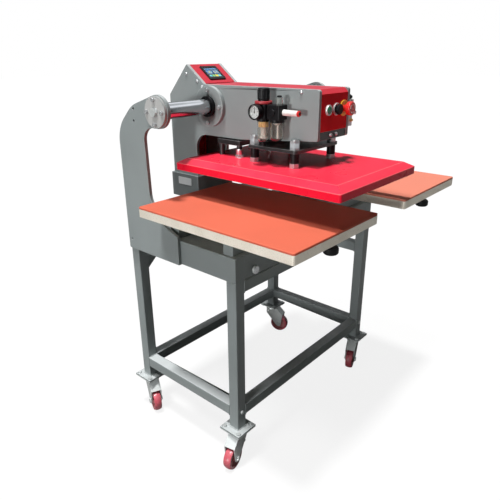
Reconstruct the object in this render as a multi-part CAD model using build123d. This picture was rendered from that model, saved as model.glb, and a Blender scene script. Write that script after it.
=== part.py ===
from build123d import *
import math
import os

# Pneumatic flat heat press on a castored stand: one heated platen hangs from a head that shuttles
# along a shaft between two fixed tables. Millimetres, X to the operator's right, Y to the rear, Z up.
# The origin is on the floor under the middle of the machine's outline.

# Tables
table_width = 420
table_depth = 600
station_gap = 184
table_plate_height = 26
table_plate_skin = 10
table_rim = 14
table_rib_width = 84
table_corner = 6
pad_height = 7

# Stand of square tube
stand_width = 830
table_overhang = 282
rear_reach = 196
tube_size = 40
tube_wall = 2.5
tube_corner = 3
stand_height = 703
lower_rail_height = 197
mid_rail_drop = 143
gusset_run = 80
gusset_drop = 70
gusset_thickness = 5
end_cap = 3
foot_plate_size = 88
foot_plate_height = 5

# Base frame, deck and table supports
base_height = 80
deck_height = 3
deck_lip_drop = 20
cross_tube_height = 50
cross_tube_depth = 40
cross_tube_setback = 10
front_cross_setback = 18
rear_cross_setback = 60
beam_width = 60
beam_height = 40
beam_setback = 60

# Casters
caster_height = 145
caster_plate_height = 4
race_radius = 26
race_height = 8
race_gap = 0.3
king_pin_radius = 6
king_nut_flats = 19
king_nut_height = 8
fork_crown_height = 5
fork_sheet = 4
wheel_diameter = 88
wheel_width = 28
wheel_trail = 38
wheel_side_gap = 3
wheel_crown = 3
tread_thickness = 11
wheel_web = 10
hub_radius = 13
axle_radius = 5
running_clearance = 0.06
caster_angle = {"front_left": 192, "rear_left": 246, "front_right": 198, "rear_right": 288}
braked_casters = ("front_left", "front_right")
brake_pin_radius = 3
brake_width = 26
brake_sheet = 3
brake_drop = 46
brake_toe = 8
brake_pin_setback = 18
brake_pin_drop = 18
axle_ear_radius = 14
fork_back_drop = 28
hood_reach = 60
hood_drop = 36

# Arms, shaft and rear guide rail
arm_thickness = 12
arm_rear_setback = 9
arm_column_width = 135
arm_foot_reach = 77
arm_foot_rise = 14
arm_nose_radius = 50
arm_shoulder_run = 125
arm_shoulder_rise = 13
arm_shoulder_drop = 62
arm_bend_radius = 110
arm_foot_run = 66
arm_foot_step = 26
arm_column_rise = 104
arm_throat_taper = 3
arm_throat_low = 60
arm_throat_high = 42
shaft_radius = 25
shaft_setback = 20
shaft_rise = 97
end_disc_radius = 48
end_disc_height = 10
end_bolt_circle = 36
rail_thickness = 12
rail_height = 60
rail_foot_depth = 54
rail_foot_height = 6
rail_end_gap = 10
rail_setback = 71

# Head
head_width = 165
head_park = -115
side_plate = 12
head_reach = 144
arm_depth_rear = 165
underside_taper = 23.5
underside_flat = 206
column_depth = 127
column_foot_rise = 154
throat_radius = 50
console_rise = 62
console_run = 81
rear_slant_run = 94
rear_slant_drop = 101
front_chamfer = 13
cover_sheet = 2.2
cover_joint = 3
cover_lip = 18
front_cover_length = 162
panel_bottom_gap = 24
flange_radius = 65
flange_height = 15
flange_bolt_circle = 52
flange_bolt_shank = 4
flange_bolt_radius = 6
cover_bolt_shank = 2.5
cover_bolt_drop = 9
panel_bolt_setback = 61
top_bolt_setback = 220
console_bolt_run = 31
console_bolt_rise = 9
seal_radius = 32
seal_height = 6
bearing_sleeve_radius = 38
bearing_sleeve_length = 42
foot_block_height = 40
foot_block_front = 8
foot_block_rear = 24
column_base_width = 180
column_base_depth = 140
column_base_height = 88
column_base_wall = 6
roller_radius = 15
roller_height = 14
roller_gap = 0.3
roller_drop = 6
roller_pin_radius = 5
display_width = 76
display_length = 66
display_height = 4
display_depth = 20
screen_width = 62
screen_length = 48

# Air cylinder
bore_radius = 50
barrel_wall = 5
cap_side_gap = 5.5
bottom_cap_height = 16
top_cap_height = 12
piston_height = 14
piston_clearance = 0.3
rod_radius = 15
lift_stroke = 80
stroke_reserve = 3
rod_thread_radius = 10
rod_nut_height = 12
rod_nut_flats = 30
tie_rod_radius = 4
tie_rod_edge = 9
cylinder_seat_rise = 16
cylinder_seat_height = 10
cylinder_seat_depth = 150

# Platen
press_opening = 80.5
platen_width = 400
platen_depth = 600
heating_plate_height = 20
insulation_height = 21.5
insulation_inset = 20
cover_side_margin = 23
cover_end_margin = 13
cover_skirt = 23
cover_rise = 15
cover_bevel = 28
cover_skin = 2
cover_corner = 8
stud_radius = 9
stud_fit = 0.15
stud_engagement = 8
stud_pitch_x = 198
stud_pitch_y = 154
nut_flats = 27
base_nut_height = 14
top_nut_height = 13
stud_tip = 3
spacer_radius = 13.5
spacer_height = 30
lift_plate_height = 10
lift_plate_margin = 17
lift_gap = 4
guide_setback = 198
guide_bar_width = 182
guide_bar_depth = 100
guide_bar_height = 16
guide_post_pitch_x = 160
guide_post_pitch_y = 78
guide_post_radius = 9
guide_stud_radius = 5
guide_rod_pitch = 80
guide_rod_radius = 8
guide_rod_reserve = 15
guide_block_depth = 60
guide_block_height = 40
guide_block_rise = 9

# Controls
switch_hole_radius = 11.3
switch_barrel_length = 16
bezel_radius = 14.5
bezel_height = 5
low_bezel_height = 2
stop_bezel_radius = 22
plunger_radius = 9.5
button_clearance = 0.3
button_pitch = 42
button_offset = 7
button_drop = 58
button_travel = 4
green_proud = 1.5
black_radius = 15
black_height = 10
stop_radius = 20
stop_height = 16
stop_travel = 5
stop_neck = 8
contact_block = 26
contact_depth = 40

# Filter, regulator and lubricator set
service_rise = 81
service_block_height = 41
service_block_width = 40
service_stand_off = 18
regulator_y = 24.5
regulator_length = 43
lubricator_y = -26
lubricator_length = 48
bonnet_radius = 17
bonnet_height = 12
lock_ring_radius = 25
lock_ring_height = 8
knob_radius = 18
knob_height = 31
knob_flutes = 12
spindle_radius = 6
spindle_height = 15
filter_bowl_radius = 18
filter_bowl_height = 70
oil_bowl_radius = 19
oil_bowl_height = 62
dome_radius = 10
dome_height = 22
gauge_radius = 21
gauge_depth = 24
gauge_recess = 4
gauge_rim = 2.5
needle_length = 14
needle_pin_radius = 1
outlet_radius = 7.5
outlet_length = 56
bowl_wall = 2
valve_setback = 26
valve_rise = 85
valve_plate_width = 44
valve_plate_height = 90
valve_plate_sheet = 3
valve_depth = 40
valve_body_width = 28
valve_body_drop = 38
valve_coil_width = 30
valve_coil_foot = 10
valve_coil_height = 32
valve_port_radius = 7
valve_port_length = 10
valve_port_drop = 24

# Table knobs and small hardware
table_knob_radius = 22
table_knob_height = 24
table_knob_setback = 28
table_knob_drop = 16
knob_stud_radius = 5
knob_stud_engagement = 20
small_bolt_radius = 5
small_bolt_height = 3
disc_bolt_radius = 6
disc_bolt_shank = 4
centre_bolt_flats = 24
centre_bolt_height = 9
centre_bolt_shank = 7
plate_bolt_offset = 33
plate_bolt_radius = 4
plate_bolt_flats = 13
plate_bolt_head = 5
lock_radius = 14
lock_proud = 8
lock_x = 323
lock_rise = 20
arm_hole_radius = 4
bolt_clearance = 0.2


# Levels and lines that the pieces share
overall_depth = cover_end_margin + table_depth + rear_reach + (foot_plate_size - tube_size) / 2
front_y = cover_end_margin - overall_depth / 2
table_rear = front_y + table_depth
table_mid_y = front_y + table_depth / 2
station_x = (table_width + station_gap) / 2
stand_front = front_y + table_overhang
stand_rear = table_rear + rear_reach
stand_side = stand_width / 2
leg_x = stand_side - tube_size / 2
leg_front_y = stand_front + tube_size / 2
leg_rear_y = stand_rear - tube_size / 2
rail_span_x = stand_side - tube_size
base_top = stand_height + base_height
deck_top = base_top + deck_height
column_foot = deck_top + column_foot_rise
mid_rail_bottom = stand_height - mid_rail_drop
beam_bottom = deck_top + cross_tube_height
table_bottom = beam_bottom + beam_height
table_top = table_bottom + table_plate_height
pad_top = table_top + pad_height
plate_bottom = pad_top + press_opening
plate_top = plate_bottom + heating_plate_height
cover_top = plate_top + insulation_height + cover_skin
spacer_bottom = cover_top + base_nut_height
lift_plate_bottom = spacer_bottom + spacer_height
lift_plate_top = lift_plate_bottom + lift_plate_height
head_bottom = lift_plate_top + lift_gap
head_top = head_bottom + arm_depth_rear
shaft_z = head_bottom + shaft_rise
button_z = head_top - button_drop
service_bottom = head_bottom + service_rise
valve_z = head_bottom + valve_rise
shaft_y = table_rear - shaft_setback
arm_rear = stand_rear - arm_rear_setback
column_rear = arm_rear
column_front = column_rear - column_depth
head_front = table_mid_y - head_reach
head_half = head_width / 2
inner_half = head_half - side_plate
wheel_radius = wheel_diameter / 2


def block(x0, x1, y0, y1, z0, z1):
    return Pos((x0 + x1) / 2, (y0 + y1) / 2, (z0 + z1) / 2) * Box(x1 - x0, y1 - y0, z1 - z0)


def cylinder_x(x0, x1, y, z, radius):
    return Pos((x0 + x1) / 2, y, z) * Rot(0, 90, 0) * Cylinder(radius, x1 - x0)


def cylinder_y(x, y0, y1, z, radius):
    return Pos(x, (y0 + y1) / 2, z) * Rot(90, 0, 0) * Cylinder(radius, y1 - y0)


def cylinder_z(x, y, z0, z1, radius):
    return Pos(x, y, (z0 + z1) / 2) * Cylinder(radius, z1 - z0)


def hexagon_z(x, y, z0, z1, flats):
    return Pos(x, y, z0) * extrude(RegularPolygon(flats / 2, 6, major_radius=False, rotation=30), z1 - z0)


def hexagon_x(x0, x1, y, z, flats):
    face = Pos(y, z) * RegularPolygon(flats / 2, 6, major_radius=False)
    return extrude(Plane.YZ.offset(x0) * face, x1 - x0)


def plate_x(x0, x1, corners):
    # A flat plate across X. Its corners are (y, z, fillet radius).
    face = make_face(Polyline(*[(y, z) for y, z, radius in corners], close=True))
    for y, z, radius in corners:
        if radius > 0:
            face = fillet(face.vertices().sort_by_distance((y, z, 0))[0], radius)
    return extrude(Plane.YZ.offset(x0) * face, x1 - x0)


def box_tube(x0, x1, y0, y1, z0, z1, axis):
    # A hollow rectangular tube with rounded long edges, open at both ends.
    outer = block(x0, x1, y0, y1, z0, z1)
    outer = fillet(outer.edges().filter_by(axis), tube_corner)
    wall_x = 0 if axis == Axis.X else tube_wall
    wall_y = 0 if axis == Axis.Y else tube_wall
    wall_z = 0 if axis == Axis.Z else tube_wall
    bore = block(x0 + wall_x, x1 - wall_x, y0 + wall_y, y1 - wall_y, z0 + wall_z, z1 - wall_z)
    return outer - bore


def capped_tube(x0, x1, y0, y1, z0, z1, axis):
    # The same tube with a plate over each end.
    tube = box_tube(x0, x1, y0, y1, z0, z1, axis)
    reach = tube_wall / 2
    if axis == Axis.X:
        tube += block(x0, x0 + end_cap, y0 + reach, y1 - reach, z0 + reach, z1 - reach)
        return tube + block(x1 - end_cap, x1, y0 + reach, y1 - reach, z0 + reach, z1 - reach)
    tube += block(x0 + reach, x1 - reach, y0, y0 + end_cap, z0 + reach, z1 - reach)
    return tube + block(x0 + reach, x1 - reach, y1 - end_cap, y1, z0 + reach, z1 - reach)


def tangent_point(centre, radius, point, side):
    # Where a line from the point touches the circle, on the left (1) or right (-1) of the sight line.
    run = math.hypot(point[0] - centre[0], point[1] - centre[1])
    angle = math.atan2(point[1] - centre[1], point[0] - centre[0]) + side * math.acos(radius / run)
    return centre[0] + radius * math.cos(angle), centre[1] + radius * math.sin(angle)


def save(name, *solids):
    os.makedirs("parts", exist_ok=True)
    shape = solids[0] if len(solids) == 1 else Compound(children=list(solids))
    export_step(shape, f"parts/{name}.step")


# Stand
corners = {
    "front_left": (-leg_x, leg_front_y),
    "rear_left": (-leg_x, leg_rear_y),
    "front_right": (leg_x, leg_front_y),
    "rear_right": (leg_x, leg_rear_y),
}


def plate_bolt_places(x, y):
    steps = (-plate_bolt_offset, plate_bolt_offset)
    return [(x + step_x, y + step_y) for step_x in steps for step_y in steps]


def leg(x, y):
    # Square tube with the foot plate that the caster bolts to.
    half = tube_size / 2
    foot_top = caster_height + foot_plate_height
    tube = box_tube(x - half, x + half, y - half, y + half, foot_top, stand_height, Axis.Z)
    reach = foot_plate_size / 2
    foot = block(x - reach, x + reach, y - reach, y + reach, caster_height, foot_top)
    for bolt_x, bolt_y in plate_bolt_places(x, y):
        foot -= cylinder_z(bolt_x, bolt_y, caster_height, foot_top, plate_bolt_radius + bolt_clearance)
    return tube + foot


def cross_rail(y, z0, z1):
    return box_tube(-rail_span_x, rail_span_x, y - tube_size / 2, y + tube_size / 2, z0, z1, Axis.X)


def side_rail(x, z0, z1):
    half = tube_size / 2
    return box_tube(x - half, x + half, leg_front_y + half, leg_rear_y - half, z0, z1, Axis.Y)


def gusset(side):
    # Triangle in the rear corner, below the upper rail and beside the leg.
    top = stand_height - tube_size
    points = [(side * rail_span_x, top), (side * (rail_span_x - gusset_run), top),
              (side * rail_span_x, top - gusset_drop)]
    face = make_face(Polyline(*points, close=True))
    return extrude(Plane.XZ.offset(-leg_rear_y - gusset_thickness / 2) * face, gusset_thickness)


lower_top = lower_rail_height + tube_size
save("stand_legs", *[leg(x, y) for x, y in corners.values()])
save(
    "stand_lower_rails",
    cross_rail(leg_front_y, lower_rail_height, lower_top),
    cross_rail(leg_rear_y, lower_rail_height, lower_top),
    side_rail(-leg_x, lower_rail_height, lower_top),
    side_rail(leg_x, lower_rail_height, lower_top),
)
save(
    "stand_upper_rails",
    cross_rail(leg_front_y, stand_height - tube_size, stand_height),
    cross_rail(leg_rear_y, stand_height - tube_size, stand_height),
    side_rail(leg_x, mid_rail_bottom, mid_rail_bottom + tube_size),
    gusset(-1),
    gusset(1),
)

# Casters, drawn with the swivel axis at the local origin and the wheel trailing along local X
race_bottom = caster_height - caster_plate_height - race_height
crown_top = race_bottom - race_gap
crown_bottom = crown_top - fork_crown_height
nut_top = crown_bottom - race_gap
fork_inner = wheel_width / 2 + wheel_side_gap
fork_outer = fork_inner + fork_sheet
crown_half = race_radius
hood_tip = (hood_reach, crown_top - hood_drop)
brake_pin = (-brake_pin_setback, crown_bottom - brake_pin_drop)


def caster_plate(x, y):
    half = foot_plate_size / 2
    plate_bottom_z = caster_height - caster_plate_height
    plate = block(x - half, x + half, y - half, y + half, plate_bottom_z, caster_height)
    plate += cylinder_z(x, y, race_bottom, plate_bottom_z, race_radius)
    plate += cylinder_z(x, y, nut_top - king_nut_height, race_bottom, king_pin_radius)
    plate += hexagon_z(x, y, nut_top - king_nut_height, nut_top, king_nut_flats)
    for bolt_x, bolt_y in plate_bolt_places(x, y):
        hole = cylinder_z(bolt_x, bolt_y, plate_bottom_z, caster_height, plate_bolt_radius + bolt_clearance)
        plate -= hole
    return plate


def fork_cheek(side):
    # One side of the fork, with the ear that holds the axle.
    axle = (wheel_trail, wheel_radius)
    front = tangent_point(axle, axle_ear_radius, hood_tip, -1)
    back = tangent_point(axle, axle_ear_radius, (-crown_half, crown_bottom - fork_back_drop), 1)
    points = [(-crown_half, crown_top), (crown_half, crown_top), hood_tip, front, axle,
              back, (-crown_half, crown_bottom - fork_back_drop)]
    face = make_face(Polyline(*points, close=True)) + Pos(*axle) * Circle(axle_ear_radius)
    face -= Pos(*axle) * Circle(axle_radius + bolt_clearance)
    face -= Pos(*brake_pin) * Circle(brake_pin_radius + running_clearance)
    start = fork_inner if side > 0 else -fork_outer
    return extrude(Plane.XZ.offset(-start - fork_sheet) * face, fork_sheet)


def fork_hood():
    # Sheet that slopes down over the wheel between the cheeks.
    corners_xz = [(crown_half - fork_crown_height, crown_top), (crown_half, crown_top), hood_tip,
                  (hood_tip[0] - fork_sheet, hood_tip[1]), (crown_half - fork_crown_height, crown_bottom)]
    sheet = make_face(Polyline(*corners_xz, close=True))
    return extrude(Plane.XZ.offset(-fork_inner) * sheet, 2 * fork_inner)


def caster_fork():
    crown = block(-crown_half, crown_half, -fork_inner, fork_inner, crown_bottom, crown_top)
    fork = crown + fork_hood() + fork_cheek(-1) + fork_cheek(1)
    fork -= cylinder_z(0, 0, crown_bottom, crown_top, king_pin_radius + running_clearance)
    axle = cylinder_y(wheel_trail, -fork_outer, fork_outer, wheel_radius, axle_radius)
    for side in (-1, 1):
        face_y = side * (fork_outer + plate_bolt_head / 2)
        nut_face = RegularPolygon(axle_radius * 1.6, 6, major_radius=False)
        nut = extrude(nut_face, plate_bolt_head / 2, both=True)
        axle += Pos(wheel_trail, face_y, wheel_radius) * Rot(90, 0, 0) * nut
    return [fork, axle]


def caster_wheel():
    # Crowned tread on a webbed hub, turned about the axle.
    half = wheel_width / 2
    bore = axle_radius + running_clearance
    rim_radius = wheel_radius - tread_thickness
    web_half = wheel_web / 2
    edge_radius = wheel_radius - wheel_crown
    hub_half = fork_inner - race_gap
    profile = make_face(
        Polyline((bore, -hub_half), (hub_radius, -hub_half), (hub_radius, -web_half),
                 (rim_radius, -web_half), (rim_radius, -half), (edge_radius, -half))
        + ThreePointArc((edge_radius, -half), (wheel_radius, 0), (edge_radius, half))
        + Polyline((edge_radius, half), (rim_radius, half), (rim_radius, web_half),
                   (hub_radius, web_half), (hub_radius, hub_half), (bore, hub_half), (bore, -hub_half))
    )
    turned = revolve(profile, Axis.Y)
    return Pos(wheel_trail, 0, wheel_radius) * turned


def caster_brake():
    # Pedal that hangs from a pin in the cheeks, with a turned-out toe.
    pin_x, pin_z = brake_pin
    half = brake_width / 2
    face_x = pin_x - brake_pin_radius - brake_sheet
    toe_bottom = pin_z - brake_drop
    lever = block(face_x, face_x + brake_sheet, -half, half, toe_bottom, pin_z + brake_pin_radius)
    foot = block(face_x - brake_toe, face_x, -half, half, toe_bottom, toe_bottom + brake_sheet)
    web = block(face_x, pin_x, -half, half, pin_z - brake_pin_radius, pin_z + brake_pin_radius)
    pin = cylinder_y(pin_x, -fork_outer, fork_outer, pin_z, brake_pin_radius)
    return lever + foot + web + pin


def place_caster(shape, corner):
    x, y = corners[corner]
    return Pos(x, y, 0) * Rot(0, 0, caster_angle[corner]) * shape


save("caster_plates", *[caster_plate(x, y) for x, y in corners.values()])
for corner in corners:
    save(f"caster_fork_{corner}", *[place_caster(piece, corner) for piece in caster_fork()])
    save(f"caster_wheel_{corner}", place_caster(caster_wheel(), corner))
for corner in braked_casters:
    save(f"caster_brake_{corner}", place_caster(caster_brake(), corner))

# Base frame, deck and table supports
base_front = stand_front + deck_height


def base_cross_rail(y):
    return box_tube(-rail_span_x, rail_span_x, y, y + tube_size, stand_height, base_top, Axis.X)


save(
    "base_rails",
    capped_tube(-stand_side, -rail_span_x, stand_front, stand_rear, stand_height, base_top, Axis.Y),
    capped_tube(rail_span_x, stand_side, stand_front, stand_rear, stand_height, base_top, Axis.Y),
    base_cross_rail(base_front),
    base_cross_rail(stand_rear - tube_size),
)
deck = block(-stand_side, stand_side, stand_front, stand_rear, base_top, deck_top)
deck += block(-rail_span_x, rail_span_x, stand_front, base_front, base_top - deck_lip_drop, base_top)
save("base_deck", deck)

cross_half = stand_side - cross_tube_setback
front_cross = stand_front + front_cross_setback
rear_cross = table_rear - rear_cross_setback
beam_front = front_y + beam_setback
beam_rear = rear_cross + cross_tube_depth


def table_beam(x):
    half = beam_width / 2
    return capped_tube(x - half, x + half, beam_front, beam_rear, beam_bottom, table_bottom, Axis.Y)


def cross_tube(y):
    return capped_tube(-cross_half, cross_half, y, y + cross_tube_depth, deck_top, beam_bottom, Axis.X)


cross_tubes = [cross_tube(front_cross), cross_tube(rear_cross)]
save("table_supports", *cross_tubes, table_beam(-station_x), table_beam(station_x))


# Tables, pads and their clamp knobs
def table_plate(x):
    # Cast plate with a rim and a middle rib below, and the clamp stud's bore at the front of the rib.
    half = table_width / 2
    plate = block(x - half, x + half, front_y, table_rear, table_bottom, table_top)
    plate = fillet(plate.edges().filter_by(Axis.Z), table_corner)
    pocket_top = table_top - table_plate_skin
    for side in (-1, 1):
        near = x + side * table_rib_width / 2
        far = x + side * (half - table_rim)
        plate -= block(min(near, far), max(near, far), front_y + table_rim, table_rear - table_rim,
                       table_bottom, pocket_top)
    bore_top = table_bottom + knob_stud_engagement + race_gap
    stud_y = front_y + table_knob_setback
    return plate - cylinder_z(x, stud_y, table_bottom, bore_top, knob_stud_radius + running_clearance)


def table_pad(x):
    half = table_width / 2
    pad = block(x - half, x + half, front_y, table_rear, table_top, pad_top)
    pad = fillet(pad.edges().filter_by(Axis.Z), table_corner)
    return fillet(pad.faces().sort_by(Axis.Z)[-1].edges(), pad_height / 4)


def table_knob(x):
    # Round grip on a clamp stud below the front of the table.
    y = front_y + table_knob_setback
    grip_top = table_bottom - table_knob_drop
    grip_bottom = grip_top - table_knob_height
    grip = cylinder_z(x, y, grip_bottom, grip_top, table_knob_radius)
    grip = fillet(grip.edges().filter_by(GeomType.CIRCLE), table_knob_height / 3)
    stud_top = table_bottom + knob_stud_engagement
    return grip + cylinder_z(x, y, grip_top - table_knob_height / 2, stud_top, knob_stud_radius)


for side_name, x in (("left", -station_x), ("right", station_x)):
    save(f"table_base_{side_name}", table_plate(x))
    save(f"table_knob_{side_name}", table_knob(x))
save("table_pads", table_pad(-station_x), table_pad(station_x))

# Arms, shaft and end discs
disc_bolt_places = []
for step in range(4):
    turn = math.radians(90 * step)
    place = (shaft_y + end_bolt_circle * math.cos(turn), shaft_z + end_bolt_circle * math.sin(turn))
    disc_bolt_places.append(place)


def arm(side):
    # C-shaped side plate: its throat lets the platen and the table pass.
    column_inner = arm_rear - arm_column_width
    foot_front = table_rear - arm_foot_reach
    foot_top = deck_top + arm_foot_rise
    shoulder = (shaft_y + arm_shoulder_run, shaft_z + arm_shoulder_rise)
    nose = (shaft_y, shaft_z)
    nose_top = tangent_point(nose, arm_nose_radius, shoulder, 1)
    throat_top = shaft_z - arm_nose_radius
    outline = [
        (foot_front, stand_height, 0),
        (foot_front, foot_top, 8),
        (foot_front + arm_foot_run, foot_top + arm_foot_step, 30),
        (column_inner - arm_throat_taper, foot_top + arm_column_rise, arm_throat_low),
        (column_inner + arm_throat_taper, throat_top, arm_throat_high),
        (shaft_y, throat_top, 0),
        (nose_top[0], nose_top[1], 0),
        (shoulder[0], shoulder[1], arm_bend_radius),
        (arm_rear, shaft_z - arm_shoulder_drop, arm_bend_radius),
        (arm_rear, stand_height, 6),
    ]
    inner = side * stand_side
    outer = side * (stand_side + arm_thickness)
    low, high = min(inner, outer), max(inner, outer)
    plate = plate_x(low, high, outline) + cylinder_x(low, high, shaft_y, shaft_z, arm_nose_radius)
    plate -= cylinder_x(low, high, shaft_y, shaft_z, shaft_radius + bolt_clearance)
    for y, z in disc_bolt_places:
        plate -= cylinder_x(low, high, y, z, disc_bolt_shank + bolt_clearance)
    spare_holes = [(arm_rear - 90, shaft_z + 3), (arm_rear - 87, shaft_z - 34)]
    spare_holes.append((arm_rear - 18, stand_height + 36))
    for y, z in spare_holes:
        plate -= cylinder_x(low, high, y, z, arm_hole_radius)
    return plate


save("arm_left", arm(-1))
save("arm_right", arm(1))

arm_outer = stand_side + arm_thickness
disc_outer = arm_outer + end_disc_height
shaft = cylinder_x(-arm_outer, arm_outer, shaft_y, shaft_z, shaft_radius)
tap_depth = 30
for side in (-1, 1):
    tap = sorted((side * arm_outer, side * (arm_outer - tap_depth)))
    shaft -= cylinder_x(tap[0], tap[1], shaft_y, shaft_z, centre_bolt_shank + bolt_clearance)
save("shuttle_shaft", shaft)


def end_disc(side):
    low, high = sorted((side * arm_outer, side * disc_outer))
    disc = cylinder_x(low, high, shaft_y, shaft_z, end_disc_radius)
    disc = chamfer(disc.edges().filter_by(GeomType.CIRCLE), 1)
    disc -= cylinder_x(low, high, shaft_y, shaft_z, centre_bolt_shank + bolt_clearance)
    for y, z in disc_bolt_places:
        disc -= cylinder_x(low, high, y, z, disc_bolt_shank + bolt_clearance)
    return disc


save("shaft_end_discs", end_disc(-1), end_disc(1))

# Rear guide rail for the foot of the head
rail_front = column_rear - rail_setback
rail_rear = rail_front + rail_thickness
rail_top = deck_top + rail_height
rail_half = stand_side - rail_end_gap
guide_rail = block(-rail_half, rail_half, rail_front, rail_rear, deck_top, rail_top)
rail_foot_rear = rail_front + rail_foot_depth
rail_foot = block(-rail_half, rail_half, rail_rear, rail_foot_rear, deck_top, deck_top + rail_foot_height)
save("rear_guide_rail", guide_rail, rail_foot)


# Fasteners of the frame
def frame_bolts():
    bolts = []
    head_bottom_z = caster_height - caster_plate_height - plate_bolt_head
    nut_z = caster_height + foot_plate_height
    for x, y in corners.values():
        for bolt_x, bolt_y in plate_bolt_places(x, y):
            bolt = cylinder_z(bolt_x, bolt_y, head_bottom_z, nut_z + plate_bolt_head, plate_bolt_radius)
            for z in (head_bottom_z, nut_z):
                bolt += hexagon_z(bolt_x, bolt_y, z, z + plate_bolt_head, plate_bolt_flats)
            bolts.append(bolt)
    for side in (-1, 1):
        face = side * disc_outer
        for y, z in disc_bolt_places:
            shank = sorted((face, side * (stand_side + 2)))
            head = sorted((face, face + side * disc_bolt_radius))
            bolt = cylinder_x(shank[0], shank[1], y, z, disc_bolt_shank)
            bolts.append(bolt + cylinder_x(head[0], head[1], y, z, disc_bolt_radius))
        shank = sorted((face, side * (arm_outer - tap_depth + 4)))
        head = sorted((face, face + side * centre_bolt_height))
        bolt = cylinder_x(shank[0], shank[1], shaft_y, shaft_z, centre_bolt_shank)
        bolts.append(bolt + hexagon_x(head[0], head[1], shaft_y, shaft_z, centre_bolt_flats))
    return bolts


def front_locks():
    locks = []
    lock_z = stand_height + lock_rise
    for side in (-1, 1):
        lock = cylinder_y(side * lock_x, base_front - lock_proud, base_front, lock_z, lock_radius)
        locks.append(fillet(lock.faces().sort_by(Axis.Y)[0].edges(), lock_proud / 2))
        rail_z = lower_rail_height + tube_size / 2
        head_front_y = stand_front - plate_bolt_head
        locks.append(cylinder_y(side * leg_x, head_front_y, stand_front, rail_z, plate_bolt_flats / 2))
    return locks


save("frame_bolts", *frame_bolts(), *front_locks())

# Head: two side plates tied by blocks, with sheet covers between them
head_x = head_park
inner_left = head_x - inner_half
inner_right = head_x + inner_half
apex_y = column_rear - rear_slant_run
apex_z = head_top + console_rise
console_foot_y = apex_y - console_run
slant_foot_z = apex_z - rear_slant_drop
front_underside = head_bottom + underside_taper
panel_bottom = front_underside + panel_bottom_gap
front_cover_end = head_front + front_cover_length

head_outline = [
    (column_rear, column_foot, 0),
    (column_rear, slant_foot_z, 4),
    (apex_y, apex_z, 4),
    (console_foot_y, head_top, 0),
    (head_front, head_top, 8),
    (head_front, front_underside, 6),
    (column_front - underside_flat, head_bottom, 0),
    (column_front, head_bottom, throat_radius),
    (column_front, column_foot, 0),
]
cover_bolt_places = [
    (head_front + panel_bolt_setback, head_top - cover_bolt_drop),
    (head_front + top_bolt_setback, head_top - cover_bolt_drop),
    (console_foot_y + cover_bolt_drop, head_top - cover_bolt_drop),
    (console_foot_y + console_bolt_run, head_top + console_bolt_rise),
]
flange_bolt_places = []
for step in range(4):
    turn = math.radians(90 * step)
    place = (shaft_y + flange_bolt_circle * math.cos(turn), shaft_z + flange_bolt_circle * math.sin(turn))
    flange_bolt_places.append(place)


def plate_span(side):
    return sorted((head_x + side * inner_half, head_x + side * head_half))


def head_plate(side):
    low, high = plate_span(side)
    plate = plate_x(low, high, head_outline)
    plate -= cylinder_x(low, high, shaft_y, shaft_z, bearing_sleeve_radius + bolt_clearance)
    for y, z in flange_bolt_places:
        plate -= cylinder_x(low, high, y, z, flange_bolt_shank + bolt_clearance)
    for y, z in cover_bolt_places:
        plate -= cylinder_x(low, high, y, z, cover_bolt_shank + bolt_clearance)
    return plate


def lip_holes(shape, places):
    for y, z in places:
        shape -= cylinder_x(inner_left, inner_right, y, z, cover_bolt_shank + bolt_clearance)
    return shape


def folded_sheet(points):
    # Sheet across the inner width of the head. Its outer face follows the (y, z) points, front to rear.
    line = Polyline(*points)
    face = make_face(offset(line, cover_sheet, kind=Kind.INTERSECTION, side=Side.RIGHT, closed=True))
    return extrude(Plane.YZ.offset(inner_left) * face, inner_half * 2)


def lips(y0, y1, z0, z1):
    # Lips along both edges of a cover, for its screws.
    left = block(inner_left, inner_left + cover_sheet, y0, y1, z0, z1)
    return left + block(inner_right - cover_sheet, inner_right, y0, y1, z0, z1)


def top_cover():
    start = front_cover_end + cover_joint
    cover = block(inner_left, inner_right, start, console_foot_y, head_top - cover_sheet, head_top)
    cover += lips(start, console_foot_y, head_top - cover_lip, head_top)
    return lip_holes(cover, cover_bolt_places[1:2])


switch_x = [head_x + button_offset + step * button_pitch for step in (-1, 0, 1)]


def front_panel():
    points = [(head_front, panel_bottom), (head_front, head_top - front_chamfer),
              (head_front + front_chamfer, head_top), (front_cover_end, head_top)]
    panel = folded_sheet(points)
    panel += lips(head_front + front_chamfer, front_cover_end, head_top - cover_lip, head_top)
    for x in switch_x:
        panel -= cylinder_y(x, head_front, head_front + cover_sheet, button_z, switch_hole_radius)
    return lip_holes(panel, cover_bolt_places[:1])


console_slope = math.degrees(math.atan2(console_rise, console_run))
console_length = math.hypot(console_rise, console_run)
console_place = Pos(head_x, console_foot_y, head_top) * Rot(console_slope, 0, 0)
housing_width = display_width - 10
housing_length = display_length - 10
display_mid = console_length / 2


def console_cover():
    start = cover_joint
    end = console_length - cover_joint
    lip_end = end - cover_lip
    sheet = block(-inner_half, inner_half, start, end, -cover_sheet, 0)
    sheet += block(-inner_half, cover_sheet - inner_half, start, lip_end, -cover_lip, 0)
    sheet += block(inner_half - cover_sheet, inner_half, start, lip_end, -cover_lip, 0)
    half_x = housing_width / 2 + bolt_clearance
    half_y = housing_length / 2 + bolt_clearance
    sheet -= block(-half_x, half_x, display_mid - half_y, display_mid + half_y, -cover_sheet, 0)
    return lip_holes(console_place * sheet, cover_bolt_places[2:4])


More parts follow.
